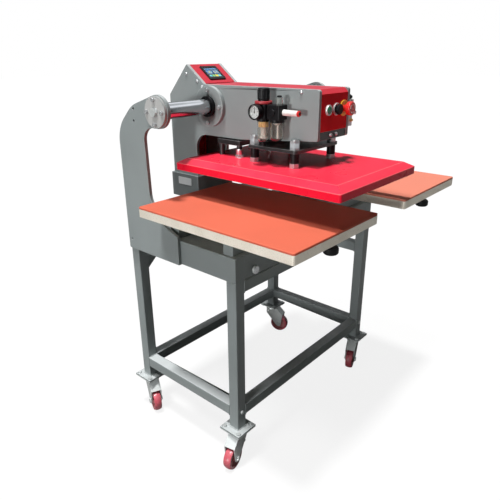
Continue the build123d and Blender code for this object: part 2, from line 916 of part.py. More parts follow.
def display_unit():
    half_x = display_width / 2
    half_y = display_length / 2
    frame = block(-half_x, half_x, display_mid - half_y, display_mid + half_y, 0, display_height)
    frame = fillet(frame.edges().filter_by(Axis.Z), 3)
    frame += block(-housing_width / 2, housing_width / 2, display_mid - housing_length / 2,
                   display_mid + housing_length / 2, -display_depth, 0)
    frame -= block(-screen_width / 2, screen_width / 2, display_mid - screen_length / 2,
                   display_mid + screen_length / 2, display_height - 1.5, display_height)
    return console_place * frame


def rear_cover():
    run = math.hypot(rear_slant_run, rear_slant_drop)
    start_y = apex_y + cover_joint * rear_slant_run / run
    start_z = apex_z - cover_joint * rear_slant_drop / run
    points = [(start_y, start_z), (column_rear, slant_foot_z), (column_rear, column_foot)]
    lip_front = column_rear - cover_lip
    return folded_sheet(points) + lips(lip_front, column_rear, column_foot, slant_foot_z - 5)


save("head_plate_left", head_plate(-1))
save("head_plate_right", head_plate(1))
save("head_top_cover", top_cover())
save("front_panel", front_panel())
save("console_cover", console_cover())
save("display_unit", display_unit())
save("rear_cover", rear_cover())


# Bearings, column base and the rollers that hold the foot of the head on the rear rail
def shaft_bearing(side):
    outer = head_x + side * head_half
    flange = sorted((outer, outer + side * flange_height))
    seal = sorted((outer + side * flange_height, outer + side * (flange_height + seal_height)))
    sleeve = sorted((outer, outer - side * bearing_sleeve_length))
    bearing = cylinder_x(flange[0], flange[1], shaft_y, shaft_z, flange_radius)
    bearing = chamfer(bearing.edges().filter_by(GeomType.CIRCLE), 1)
    bearing += cylinder_x(seal[0], seal[1], shaft_y, shaft_z, seal_radius)
    bearing += cylinder_x(sleeve[0], sleeve[1], shaft_y, shaft_z, bearing_sleeve_radius)
    for y, z in flange_bolt_places:
        bearing -= cylinder_x(flange[0], flange[1], y, z, flange_bolt_shank + bolt_clearance)
    reach = flange_height + seal_height + bearing_sleeve_length
    bore = shaft_radius + running_clearance
    return bearing - cylinder_x(outer - reach, outer + reach, shaft_y, shaft_z, bore)


save("shaft_bearings", shaft_bearing(-1), shaft_bearing(1))

column_mid_y = (column_front + column_rear) / 2
base_box_front = column_mid_y - column_base_depth / 2
base_box_rear = column_mid_y + column_base_depth / 2
base_box_bottom = column_foot - column_base_height
base_box_half = column_base_width / 2
roller_bottom = rail_top - roller_drop - roller_height
roller_top = roller_bottom + roller_height
roller_reach = roller_radius + roller_gap
roller_places = {"front": rail_front - roller_reach, "rear": rail_rear + roller_reach}


def column_base():
    # Box below the column, open to the rear.
    box = block(head_x - base_box_half, head_x + base_box_half, base_box_front, base_box_rear,
                base_box_bottom, column_foot)
    wall = column_base_wall
    box -= block(head_x - base_box_half + wall, head_x + base_box_half - wall, base_box_front + wall,
                 base_box_rear, base_box_bottom + wall, column_foot - wall)
    hole = roller_pin_radius + bolt_clearance
    for y in roller_places.values():
        box -= cylinder_z(head_x, y, base_box_bottom, base_box_bottom + wall, hole)
    return box


def guide_roller(y):
    roller = cylinder_z(head_x, y, roller_bottom, roller_top, roller_radius)
    roller = chamfer(roller.edges().filter_by(GeomType.CIRCLE), 1)
    return roller - cylinder_z(head_x, y, roller_bottom, roller_top, roller_pin_radius + running_clearance)


def roller_pin(y):
    # Pin with a washer head below the roller and a collar above it, and a nut inside the box.
    nut_bottom = base_box_bottom + column_base_wall
    washer_top = roller_bottom - race_gap
    washer_radius = roller_pin_radius + 3
    pin = cylinder_z(head_x, y, washer_top - 2, nut_bottom + 8, roller_pin_radius)
    pin += cylinder_z(head_x, y, washer_top - 2, washer_top, washer_radius)
    pin += cylinder_z(head_x, y, roller_top + race_gap, base_box_bottom, washer_radius)
    return pin + hexagon_z(head_x, y, nut_bottom, nut_bottom + 6, 17)


save("column_base", column_base())
for place_name, y in roller_places.items():
    save(f"guide_roller_{place_name}", guide_roller(y))

# Air cylinder between the side plates, with its seat, and the blocks that tie the head
lift_x = head_x
lift_y = table_mid_y
cap_half = inner_half - cap_side_gap
tie_rod_reach = cap_half - tie_rod_edge
seat_bottom = head_bottom + cylinder_seat_rise
seat_top = seat_bottom + cylinder_seat_height
barrel_bottom = seat_top + bottom_cap_height
barrel_length = lift_stroke + piston_height + stroke_reserve
barrel_top = barrel_bottom + barrel_length
cylinder_top = barrel_top + top_cap_height
piston_top = barrel_top - stroke_reserve / 2
piston_bottom = piston_top - piston_height
tie_rod_places = []
for step_x in (-1, 1):
    for step_y in (-1, 1):
        tie_rod_places.append((lift_x + step_x * tie_rod_reach, lift_y + step_y * tie_rod_reach))


def air_cylinder():
    half = cap_half
    lower = block(lift_x - half, lift_x + half, lift_y - half, lift_y + half, seat_top, barrel_bottom)
    upper = block(lift_x - half, lift_x + half, lift_y - half, lift_y + half, barrel_top, cylinder_top)
    lower -= cylinder_z(lift_x, lift_y, seat_top, barrel_bottom, rod_radius + running_clearance)
    barrel = cylinder_z(lift_x, lift_y, barrel_bottom, barrel_top, bore_radius + barrel_wall)
    barrel -= cylinder_z(lift_x, lift_y, barrel_bottom, barrel_top, bore_radius)
    pieces = [barrel]
    for x, y in tie_rod_places:
        lower -= cylinder_z(x, y, seat_top, barrel_bottom, tie_rod_radius + bolt_clearance)
        upper -= cylinder_z(x, y, barrel_top, cylinder_top, tie_rod_radius + bolt_clearance)
        rod = cylinder_z(x, y, seat_top, cylinder_top + 6, tie_rod_radius)
        pieces.append(rod + hexagon_z(x, y, cylinder_top, cylinder_top + 5, 13))
    return [lower, upper] + pieces


guide_y = lift_y + guide_setback
guide_rod_places = [(lift_x - guide_rod_pitch / 2, guide_y), (lift_x + guide_rod_pitch / 2, guide_y)]
guide_block_bottom = head_bottom + guide_block_rise
guide_block_top = guide_block_bottom + guide_block_height


def tie_blocks():
    front = block(inner_left, inner_right, head_front + 2, head_front + 14, front_underside, panel_bottom)
    half = cylinder_seat_depth / 2
    seat = block(inner_left, inner_right, lift_y - half, lift_y + half, seat_bottom, seat_top)
    seat -= cylinder_z(lift_x, lift_y, seat_bottom, seat_top, rod_radius + 1)
    front_face = guide_y - guide_block_depth / 2
    rear_face = guide_y + guide_block_depth / 2
    guide = block(inner_left, inner_right, front_face, rear_face, guide_block_bottom, guide_block_top)
    for x, y in guide_rod_places:
        guide -= cylinder_z(x, y, guide_block_bottom, guide_block_top, guide_rod_radius + running_clearance)
    foot = block(inner_left, inner_right, column_front + foot_block_front, column_rear - foot_block_rear,
                 column_foot, column_foot + foot_block_height)
    return [front, seat, guide, foot]


save("air_cylinder", *air_cylinder())
save("head_tie_blocks", *tie_blocks())


# Fasteners of the head
def head_bolts():
    bolts = [roller_pin(y) for y in roller_places.values()]
    for side in (-1, 1):
        outer = head_x + side * head_half
        inner = head_x + side * inner_half
        face = outer + side * flange_height
        for y, z in flange_bolt_places:
            shank = sorted((inner, face))
            head = sorted((face, face + side * flange_bolt_radius))
            bolt = cylinder_x(shank[0], shank[1], y, z, flange_bolt_shank)
            bolts.append(bolt + cylinder_x(head[0], head[1], y, z, flange_bolt_radius))
        for y, z in cover_bolt_places:
            shank = sorted((inner - side * 6, outer))
            head = sorted((outer, outer + side * small_bolt_height))
            bolt = cylinder_x(shank[0], shank[1], y, z, cover_bolt_shank)
            bolts.append(bolt + cylinder_x(head[0], head[1], y, z, small_bolt_radius))
    for offset_x in (-15, 15):
        z = (front_underside + panel_bottom) / 2
        bolts.append(cylinder_y(head_x + offset_x, head_front - 2, head_front + 2, z, small_bolt_radius))
    return bolts


save("head_bolts", *head_bolts())

# Platen: heating plate, insulation and cover, hung from the piston rod by four studs
stud_places = []
for step_x in (-1, 1):
    for step_y in (-1, 1):
        stud_places.append((lift_x + step_x * stud_pitch_x / 2, lift_y + step_y * stud_pitch_y / 2))
post_places = []
for step_x in (-1, 1):
    for step_y in (-1, 1):
        post_x = lift_x + step_x * guide_post_pitch_x / 2
        post_places.append((post_x, guide_y + step_y * guide_post_pitch_y / 2))
stud_bottom = plate_top - stud_engagement
guide_bar_top = head_bottom - lift_gap
guide_bar_bottom = guide_bar_top - guide_bar_height
cover_bottom = cover_top - cover_rise - cover_skirt


def platen_holes(shape, z0, z1):
    # Holes for the studs and the guide posts through one layer of the platen.
    for x, y in stud_places:
        shape -= cylinder_z(x, y, z0, z1, stud_radius + stud_fit)
    for x, y in post_places:
        shape -= cylinder_z(x, y, z0, z1, guide_stud_radius + stud_fit)
    return shape


def rounded_block(width, depth, radius, z0, z1):
    return Pos(lift_x, lift_y, z0) * extrude(RectangleRounded(width, depth, radius), z1 - z0)


def rounded_slope(size_low, size_high, z0, z1):
    # Loft between two rounded rectangles. Each size is (width, depth, radius).
    low = Pos(lift_x, lift_y, z0) * RectangleRounded(*size_low)
    high = Pos(lift_x, lift_y, z1) * RectangleRounded(*size_high)
    return loft([low, high])


def heating_plate():
    half_x = platen_width / 2
    half_y = platen_depth / 2
    plate = block(lift_x - half_x, lift_x + half_x, lift_y - half_y, lift_y + half_y,
                  plate_bottom, plate_top)
    plate = fillet(plate.edges().filter_by(Axis.Z), table_corner)
    return platen_holes(plate, stud_bottom, plate_top)


def platen_insulation():
    width = platen_width - 2 * insulation_inset
    depth = platen_depth - 2 * insulation_inset
    layer = rounded_block(width, depth, table_corner, plate_top, plate_top + insulation_height)
    return platen_holes(layer, plate_top, plate_top + insulation_height)


def platen_cover():
    # Thin pressed cover with a short skirt and a wide bevel up to its flat top.
    width = platen_width + 2 * cover_side_margin
    depth = platen_depth + 2 * cover_end_margin
    shoulder = cover_bottom + cover_skirt
    bevel_run = cover_skin * math.hypot(cover_bevel, cover_rise) / cover_rise
    top_inset = cover_bevel - cover_skin * cover_bevel / cover_rise + bevel_run
    inner_shoulder = shoulder - (bevel_run - cover_skin) * cover_rise / cover_bevel
    cover = rounded_block(width, depth, cover_corner, cover_bottom, shoulder)
    top_size = (width - 2 * cover_bevel, depth - 2 * cover_bevel, cover_corner / 3)
    cover += rounded_slope((width, depth, cover_corner), top_size, shoulder, cover_top)
    inner_size = (width - 2 * cover_skin, depth - 2 * cover_skin, cover_corner - cover_skin)
    hollow = rounded_block(*inner_size, cover_bottom, inner_shoulder)
    inner_top_size = (width - 2 * top_inset, depth - 2 * top_inset, cover_corner / 4)
    hollow += rounded_slope(inner_size, inner_top_size, inner_shoulder, cover_top - cover_skin)
    return platen_holes(cover - hollow, cover_top - cover_skin, cover_top)


def platen_studs():
    # Four studs, each with a base nut on the cover and two nuts above the lift plate.
    pieces = []
    stud_top = lift_plate_top + 2 * top_nut_height + stud_tip
    for x, y in stud_places:
        pieces.append(cylinder_z(x, y, stud_bottom, stud_top, stud_radius))
        levels = [(cover_top, spacer_bottom), (lift_plate_top, lift_plate_top + top_nut_height),
                  (lift_plate_top + top_nut_height, lift_plate_top + 2 * top_nut_height)]
        for z0, z1 in levels:
            nut = hexagon_z(x, y, z0, z1, nut_flats)
            pieces.append(nut - cylinder_z(x, y, z0, z1, stud_radius + stud_fit))
    return pieces


def platen_spacers():
    pieces = []
    for x, y in stud_places:
        spacer = cylinder_z(x, y, spacer_bottom, lift_plate_bottom, spacer_radius)
        pieces.append(spacer - cylinder_z(x, y, spacer_bottom, lift_plate_bottom, stud_radius + stud_fit))
    return pieces


def lift_plate():
    half_x = stud_pitch_x / 2 + lift_plate_margin
    half_y = stud_pitch_y / 2 + lift_plate_margin
    plate = block(lift_x - half_x, lift_x + half_x, lift_y - half_y, lift_y + half_y,
                  lift_plate_bottom, lift_plate_top)
    plate = fillet(plate.edges().filter_by(Axis.Z), lift_plate_margin - 5)
    for x, y in stud_places:
        plate -= cylinder_z(x, y, lift_plate_bottom, lift_plate_top, stud_radius + stud_fit)
    rod_hole = rod_thread_radius + stud_fit
    return plate - cylinder_z(lift_x, lift_y, lift_plate_bottom, lift_plate_top, rod_hole)


def piston_rod():
    # Piston, rod and its threaded end with the nut under the lift plate.
    rod = cylinder_z(lift_x, lift_y, piston_bottom, piston_top, bore_radius - piston_clearance)
    rod += cylinder_z(lift_x, lift_y, lift_plate_top, piston_bottom, rod_radius)
    nut_bottom = lift_plate_bottom - rod_nut_height
    rod += cylinder_z(lift_x, lift_y, nut_bottom - stud_tip, lift_plate_top, rod_thread_radius)
    return rod + hexagon_z(lift_x, lift_y, nut_bottom, lift_plate_bottom, rod_nut_flats)


def platen_guide():
    # Bar on four posts behind the lift plate. Its two rods slide in the guide block of the head.
    half = guide_bar_width / 2
    front_face = guide_y - guide_bar_depth / 2
    rear_face = guide_y + guide_bar_depth / 2
    bar = block(lift_x - half, lift_x + half, front_face, rear_face, guide_bar_bottom, guide_bar_top)
    bar = fillet(bar.edges().filter_by(Axis.Z), 4)
    pieces = []
    post_tip = guide_bar_bottom + 10
    for x, y in post_places:
        bar -= cylinder_z(x, y, guide_bar_bottom, post_tip, guide_stud_radius + stud_fit)
        post = cylinder_z(x, y, cover_top, guide_bar_bottom, guide_post_radius)
        pieces.append(post + cylinder_z(x, y, stud_bottom, post_tip, guide_stud_radius))
    rod_top = guide_block_top + lift_stroke + guide_rod_reserve
    for x, y in guide_rod_places:
        bar -= cylinder_z(x, y, guide_bar_bottom, guide_bar_top, guide_rod_radius + stud_fit)
        rod = cylinder_z(x, y, guide_bar_bottom, rod_top, guide_rod_radius)
        pieces.append(rod)
    return [bar] + pieces


save("heating_plate", heating_plate())
save("platen_insulation", platen_insulation())
save("platen_cover", platen_cover())
save("platen_studs", *platen_studs())
save("platen_spacers", *platen_spacers())
save("lift_plate", lift_plate())
save("piston_rod", piston_rod())
save("platen_guide", *platen_guide())


# Push buttons on the front panel
switch_bezels = [(bezel_radius, bezel_height), (bezel_radius, low_bezel_height)]
switch_bezels.append((stop_bezel_radius, low_bezel_height))
barrel_end = head_front + switch_barrel_length


def switch_body(x, radius, height):
    # Bezel ring, threaded barrel through the panel and contact block behind it.
    body = cylinder_y(x, head_front - height, head_front, button_z, radius)
    body += cylinder_y(x, head_front, barrel_end, button_z, switch_hole_radius - bolt_clearance)
    half = contact_block / 2
    low = button_z - half
    body += block(x - half, x + half, barrel_end, barrel_end + contact_depth, low, low + contact_block)
    bore = plunger_radius + button_clearance
    return body - cylinder_y(x, head_front - height, barrel_end, button_z, bore)


def plunger(x, front, head_depth, head_radius, travel):
    # Plunger that ends one travel and a small reserve short of the contact block.
    rear = barrel_end - travel - 1
    body = cylinder_y(x, front, rear, button_z, plunger_radius)
    if head_depth > 0:
        head = cylinder_y(x, front, front + head_depth, button_z, head_radius)
        body += fillet(head.edges().filter_by(GeomType.CIRCLE), head_depth / 4)
    return body


green_front = head_front - bezel_height - green_proud
black_front = head_front - low_bezel_height - button_travel - 1 - black_height
stop_front = head_front - low_bezel_height - stop_travel - stop_neck - stop_height
save("switch_bodies", *[switch_body(x, *size) for x, size in zip(switch_x, switch_bezels)])
save("green_button", plunger(switch_x[0], green_front, 0, plunger_radius, button_travel))
save("black_button", plunger(switch_x[1], black_front, black_height, black_radius, button_travel))
save("emergency_stop", plunger(switch_x[2], stop_front, stop_height, stop_radius, stop_travel))

# Filter, regulator and lubricator set on the left side plate
plate_face = head_x - head_half
service_right = plate_face - service_stand_off
service_left = service_right - service_block_width
service_x = (service_left + service_right) / 2
service_top = service_bottom + service_block_height
bonnet_top = service_top + bonnet_height
knob_bottom = bonnet_top + 1
regulator_mid = table_mid_y + regulator_y
lubricator_mid = table_mid_y + lubricator_y
regulator_front = regulator_mid - regulator_length / 2
regulator_rear = regulator_mid + regulator_length / 2
lubricator_front = lubricator_mid - lubricator_length / 2
lubricator_rear = lubricator_mid + lubricator_length / 2
outlet_z = service_bottom + service_block_height / 2


def service_module(front, rear):
    module = block(service_left, service_right, front, rear, service_bottom, service_top)
    return fillet(module.edges().filter_by(Axis.Z), 5)


def service_set():
    regulator = service_module(regulator_front, regulator_rear)
    regulator += cylinder_z(service_x, regulator_mid, service_top, bonnet_top, bonnet_radius)
    regulator -= cylinder_z(service_x, regulator_mid, bonnet_top - spindle_height, bonnet_top,
                            spindle_radius + running_clearance)
    ring_top = service_top + lock_ring_height
    ring = cylinder_z(service_x, regulator_mid, service_top, ring_top, lock_ring_radius)
    ring -= cylinder_z(service_x, regulator_mid, service_top, ring_top, bonnet_radius + bolt_clearance)
    lubricator = service_module(lubricator_front, lubricator_rear)
    half = service_block_width * 0.3
    low = outlet_z - half
    joint = block(service_x - half, service_x + half, lubricator_rear, regulator_front, low, low + 2 * half)
    outlet_end = lubricator_front - outlet_length
    outlet = cylinder_y(service_x, outlet_end, lubricator_front, outlet_z, outlet_radius)
    bracket = block(service_right, plate_face, lubricator_mid, regulator_mid, low, low + 2 * half)
    bracket = fillet(bracket.edges().filter_by(Axis.X), 3)
    return [regulator, ring, lubricator, joint, outlet, bracket]


def bowl(y, radius, height):
    bottom = service_bottom - height
    cup = cylinder_z(service_x, y, bottom, service_bottom, radius)
    cup = fillet(cup.faces().sort_by(Axis.Z)[0].edges(), radius * 0.6)
    hollow = cylinder_z(service_x, y, bottom + bowl_wall, service_bottom, radius - bowl_wall)
    hollow = fillet(hollow.faces().sort_by(Axis.Z)[0].edges(), radius * 0.6 - bowl_wall)
    return cup - hollow


def sight_dome():
    y = lubricator_mid - 8
    dome = cylinder_z(service_x, y, service_top, service_top + dome_height, dome_radius)
    return fillet(dome.faces().sort_by(Axis.Z)[-1].edges(), dome_radius / 2)


def regulator_knob():
    # Fluted knob on a spindle that turns in the bonnet.
    knob = cylinder_z(service_x, regulator_mid, knob_bottom, knob_bottom + knob_height, knob_radius)
    knob = fillet(knob.faces().sort_by(Axis.Z)[-1].edges(), 3)
    for step in range(knob_flutes):
        turn = math.radians(360 * step / knob_flutes)
        x = service_x + (knob_radius + 1) * math.cos(turn)
        y = regulator_mid + (knob_radius + 1) * math.sin(turn)
        knob -= cylinder_z(x, y, knob_bottom, knob_bottom + knob_height - 6, 2)
    spindle_bottom = bonnet_top - spindle_height + 1
    return knob + cylinder_z(service_x, regulator_mid, spindle_bottom, knob_bottom, spindle_radius)


gauge_back = service_left
gauge_stem = 8
gauge_front = gauge_back - gauge_depth
dial_face = gauge_front + gauge_recess


def pressure_gauge():
    gauge = cylinder_x(gauge_back - gauge_stem, gauge_back, regulator_mid, outlet_z, gauge_radius / 3)
    gauge += cylinder_x(gauge_front, gauge_back - gauge_stem, regulator_mid, outlet_z, gauge_radius)
    gauge -= cylinder_x(gauge_front, dial_face, regulator_mid, outlet_z, gauge_radius - gauge_rim)
    pin_bore = needle_pin_radius + running_clearance
    return gauge - cylinder_x(dial_face, dial_face + 4, regulator_mid, outlet_z, pin_bore)


def gauge_needle():
    pin = cylinder_x(dial_face - 2, dial_face + 3, regulator_mid, outlet_z, needle_pin_radius)
    hub = cylinder_x(dial_face - 2, dial_face - 1, regulator_mid, outlet_z, needle_pin_radius * 2)
    blade = block(dial_face - 2, dial_face - 1, regulator_mid - 0.6, regulator_mid + 0.6,
                  outlet_z - 4, outlet_z + needle_length)
    return pin + hub + blade


save("service_set", *service_set())
oil_bowl = bowl(lubricator_mid, oil_bowl_radius, oil_bowl_height)
save("service_bowls", bowl(regulator_mid, filter_bowl_radius, filter_bowl_height), oil_bowl, sight_dome())
save("regulator_knob", regulator_knob())
save("pressure_gauge", pressure_gauge())
save("gauge_needle", gauge_needle())


# Valve on the right side plate
def solenoid_valve():
    face = head_x + head_half
    body_face = face + valve_plate_sheet
    body_outer = body_face + valve_depth
    valve_y = head_front + valve_setback
    plate_y = valve_plate_width / 2
    plate_z = valve_plate_height / 2
    body_y = valve_body_width / 2
    coil_y = valve_coil_width / 2
    coil_bottom = valve_z + valve_coil_foot
    plate = block(face, body_face, valve_y - plate_y, valve_y + plate_y,
                  valve_z - plate_z, valve_z + plate_z)
    body = block(body_face, body_outer, valve_y - body_y, valve_y + body_y,
                 valve_z - valve_body_drop, coil_bottom)
    body = fillet(body.edges().filter_by(Axis.Z), 2)
    coil = block(body_face, body_outer, valve_y - coil_y, valve_y + coil_y,
                 coil_bottom, coil_bottom + valve_coil_height)
    coil = fillet(coil.edges().filter_by(Axis.Z), 3)
    port_z = valve_z - valve_port_drop
    port = cylinder_x(body_outer, body_outer + valve_port_length, valve_y, port_z, valve_port_radius)
    return [plate, body, coil, port]


save("solenoid_valve", *solenoid_valve())
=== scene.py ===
import math
import random

import bmesh
import bpy
from mathutils import Matrix, Vector


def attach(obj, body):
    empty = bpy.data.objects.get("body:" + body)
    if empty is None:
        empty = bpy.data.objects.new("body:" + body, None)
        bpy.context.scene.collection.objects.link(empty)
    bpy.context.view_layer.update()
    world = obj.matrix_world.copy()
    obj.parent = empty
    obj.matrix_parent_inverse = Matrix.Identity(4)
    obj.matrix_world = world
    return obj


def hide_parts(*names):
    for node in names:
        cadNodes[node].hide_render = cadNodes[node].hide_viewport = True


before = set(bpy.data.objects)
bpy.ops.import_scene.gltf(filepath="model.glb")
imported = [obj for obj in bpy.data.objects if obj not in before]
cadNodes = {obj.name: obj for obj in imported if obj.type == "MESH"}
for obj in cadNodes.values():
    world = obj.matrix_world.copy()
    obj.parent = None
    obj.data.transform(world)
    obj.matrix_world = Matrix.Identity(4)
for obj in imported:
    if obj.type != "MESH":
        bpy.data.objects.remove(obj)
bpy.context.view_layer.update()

scene = bpy.context.scene
random.seed(12)
mm = 0.001


# Shader graphs
class Wire:  # a shader socket that takes plain arithmetic
    def __init__(self, tree, socket):
        self.tree = tree
        self.socket = socket

    def maths(self, operation, first, second):
        node = self.tree.nodes.new("ShaderNodeMath")
        node.operation = operation
        plug(self.tree, first, node.inputs[0])
        plug(self.tree, second, node.inputs[1])
        return Wire(self.tree, node.outputs[0])

    def __add__(self, other):
        return self.maths("ADD", self, other)

    def __radd__(self, other):
        return self.maths("ADD", other, self)

    def __sub__(self, other):
        return self.maths("SUBTRACT", self, other)

    def __rsub__(self, other):
        return self.maths("SUBTRACT", other, self)

    def __mul__(self, other):
        return self.maths("MULTIPLY", self, other)

    def __rmul__(self, other):
        return self.maths("MULTIPLY", other, self)


def plug(tree, value, socket):
    if isinstance(value, Wire):
        tree.links.new(value.socket, socket)
    else:
        socket.default_value = value


class Graph:
    def __init__(self, tree):
        self.tree = tree
        self.tree.nodes.clear()

    def node(self, kind, settings=None, sockets=None, output=0):
        made = self.tree.nodes.new(kind)
        for key, value in (settings or {}).items():
            if key == "stops":
                while len(made.color_ramp.elements) < len(value):
                    made.color_ramp.elements.new(0.5)
                for stop, (place, colour) in zip(made.color_ramp.elements, value):
                    stop.position = place
                    stop.color = colour
            else:
                setattr(made, key, value)
        for key, value in (sockets or {}).items():
            plug(self.tree, value, made.inputs[key])
        return Wire(self.tree, made.outputs[output]) if len(made.outputs) else None

    def ray(self, kind):
        return self.node("ShaderNodeLightPath", output=f"Is {kind} Ray")

    def ramp(self, value, low, high):  # 0 below low, 1 above high
        stops = [(low, (0, 0, 0, 1)), (high, (1, 1, 1, 1))]
        return self.node("ShaderNodeValToRGB", {"stops": stops}, {"Fac": value})

    def mix(self, factor, first, second):
        sockets = {0: factor, 6: first, 7: second}
        return self.node("ShaderNodeMix", {"data_type": "RGBA"}, sockets, output=2)


class Finish(Graph):  # one material while it is being built
    def __init__(self, name, constants):
        self.material = bpy.data.materials.new(name)
        self.material.use_nodes = True
        super().__init__(self.material.node_tree)
        self.surface = self.node("ShaderNodeBsdfPrincipled", sockets=constants)
        self.shader = self.surface.socket.node
        self.node("ShaderNodeOutputMaterial", sockets={0: self.surface})

    def place(self, scale=(1, 1, 1)):
        where = self.node("ShaderNodeTexCoord", output="Object")
        return self.node("ShaderNodeMapping", sockets={"Vector": where, "Scale": scale})

    def noise(self, scale, detail, roughness=0.5, stretch=(1, 1, 1)):
        sockets = {"Vector": self.place(stretch), "Scale": scale, "Detail": detail, "Roughness": roughness}
        return self.node("ShaderNodeTexNoise", sockets=sockets, output="Fac")

    def bump(self, height, distance, strength):
        sockets = {"Height": height, "Distance": distance, "Strength": strength}
        self.feed("Normal", self.node("ShaderNodeBump", sockets=sockets))

    def feed(self, socket, value):
        plug(self.tree, value, self.shader.inputs[socket])


def tone(red, green, blue):
    return (red, green, blue, 1.0)


def shifted(colour, factor):
    return tone(*[min(1.0, channel * factor) for channel in colour[:3]])


# The share and tone for upward faces below are painted light: upward faces turn paler in patches, standing in
# for light from above
paints = {
    "greyPaint": {"colour": tone(0.235, 0.262, 0.262), "roughness": 0.40, "grain": 0.5, "coat": 0.08,
                  "gloss": 0.4, "topLight": 0.75, "topLightTone": tone(0.58, 0.61, 0.61)},
    "paleGreyPaint": {"colour": tone(0.43, 0.43, 0.42), "roughness": 0.36, "grain": 0.5, "coat": 0.10,
                      "gloss": 0.4},
    # The column base's darker grey is painted shade, standing in for the head's shadow over it
    "paintedShadeGrey": {"colour": tone(0.13, 0.145, 0.147), "roughness": 0.42, "grain": 0.5, "coat": 0.08,
                      "gloss": 0.4},
    "redPaint": {"colour": tone(0.60, 0.003, 0.012), "roughness": 0.30, "grain": 0.2, "coat": 0.0,
                 "gloss": 0.04, "topLight": 0.12, "topLightTone": tone(0.62, 0.50, 0.66)},
    "platenRed": {"colour": tone(0.84, 0.010, 0.038), "roughness": 0.26, "grain": 0.25, "coat": 0.0,
                  "gloss": 0.09, "topLight": 0.045, "topLightTone": tone(0.86, 0.55, 0.75)},
    "blackPaint": {"colour": tone(0.014, 0.014, 0.015), "roughness": 0.28, "grain": 0.4, "coat": 0.2,
                   "gloss": 0.4},
}
enamel = {"cloudScale": 5, "darker": 0.93, "lighter": 1.07, "rubScale": 38, "rubShare": 0.35, "rubTone": 1.35,
          "topLightScale": 16, "topLightRises": (0.5, 0.9), "peelScale": 420, "peelDepth": 0.0006,
          "coatRoughness": 0.16}


def paint(name):
    # Sprayed enamel: cloudy tone, orange peel and a few rubbed spots. Upward faces get a paler tone in
    # patches, which is painted light from above.
    look = paints[name]
    colour = look["colour"]
    constants = {"Coat Weight": look["coat"], "Coat Roughness": enamel["coatRoughness"],
                 "Specular IOR Level": look["gloss"]}
    finish = Finish(name, constants)
    cloud = finish.ramp(finish.noise(enamel["cloudScale"], 4), 0.32, 0.72)
    rubbed = finish.ramp(finish.noise(enamel["rubScale"], 8, 0.72), 0.66, 0.74)
    base = finish.mix(cloud, shifted(colour, enamel["darker"]), shifted(colour, enamel["lighter"]))
    base = finish.mix(rubbed * enamel["rubShare"], base, shifted(colour, enamel["rubTone"]))
    # Painted light: upward faces are mixed, in patches, towards a paler tone that stands in for light from
    # above
    if "topLight" in look:
        facing = finish.node("ShaderNodeNewGeometry", output="Normal")
        upward = finish.node("ShaderNodeSeparateXYZ", sockets={0: facing}, output="Z")
        patchy = (finish.noise(enamel["topLightScale"], 5, 0.6) + 0.5) * look["topLight"]
        base = finish.mix(finish.ramp(upward, *enamel["topLightRises"]) * patchy, base, look["topLightTone"])
    finish.feed("Base Color", base)
    finish.feed("Roughness", look["roughness"] + cloud * 0.06 + rubbed * 0.16)
    peel = finish.noise(enamel["peelScale"], 2, 0.5)
    finish.bump(peel * look["grain"], enamel["peelDepth"], 0.35)
    return finish.material


def edgeHighlightAndWear(name, colour):
    # Bevel faces: a lighter tone of the paint all along the edge is a painted highlight; the paler chips on
    # it are wear
    finish = Finish(name, {"Coat Weight": 0.1})
    chips = finish.ramp(finish.noise(60, 6, 0.7), 0.52, 0.62)
    finish.feed("Base Color", finish.mix(chips * 0.6, shifted(colour, 1.15), shifted(colour, 1.9)))
    finish.feed("Roughness", 0.42 + chips * 0.15)
    return finish.material


def metal(name, colour, roughness, stretch, depth, metallic=1.0):
    # Drawn or machined metal: fine lines along one direction and soft blotches
    finish = Finish(name, {"Metallic": metallic})
    lines = finish.noise(160, 3, 0.6, stretch)
    blotch = finish.ramp(finish.noise(14, 5, 0.6), 0.35, 0.7)
    shade = finish.mix(blotch, shifted(colour, 0.9), shifted(colour, 1.04))
    finish.feed("Base Color", finish.mix(lines * 0.35, shade, shifted(colour, 0.82)))
    finish.feed("Roughness", roughness + lines * 0.12 + blotch * 0.05)
    finish.bump(lines * depth, 0.0003, 0.3)
    return finish.material


def moulded(name, colour, roughness, grain, coat=0.0, gloss=0.5):
    # Moulded plastic or rubber with a fine spark-eroded grain
    finish = Finish(name, {"Coat Weight": coat, "Specular IOR Level": gloss})
    cloud = finish.ramp(finish.noise(22, 4), 0.35, 0.7)
    grit = finish.noise(900, 2, 0.6)
    finish.feed("Base Color", finish.mix(cloud, shifted(colour, 0.9), shifted(colour, 1.08)))
    finish.feed("Roughness", roughness + cloud * 0.06)
    finish.bump(grit * grain, 0.0004, 0.3)
    return finish.material


castTable = {"dark": tone(0.80, 0.73, 0.62), "light": tone(0.92, 0.86, 0.76), "speck": tone(0.42, 0.38, 0.31),
             "speckScale": 330, "metallic": 0.5}


def castFinish():
    # Cast table plate, pale, speckled and only partly metallic
    finish = Finish("castTable", {"Metallic": castTable["metallic"]})
    cloud = finish.ramp(finish.noise(9, 5, 0.6), 0.3, 0.75)
    specks = finish.ramp(finish.noise(castTable["speckScale"], 4, 0.7), 0.56, 0.66)
    base = finish.mix(cloud, castTable["dark"], castTable["light"])
    finish.feed("Base Color", finish.mix(specks * 0.6, base, castTable["speck"]))
    finish.feed("Roughness", 0.46 + cloud * 0.1 + specks * 0.1)
    finish.bump(specks * 0.6 + finish.noise(600, 3, 0.6) * 0.5, 0.0004, 0.4)
    return finish.material


silicone = {"colour": tone(0.66, 0.136, 0.075), "glareTone": tone(0.68, 0.27, 0.19), "glareShare": 0.6,
            "lint": tone(0.76, 0.40, 0.31), "lintScale": 240, "poreScale": 1300, "gloss": 0.35}


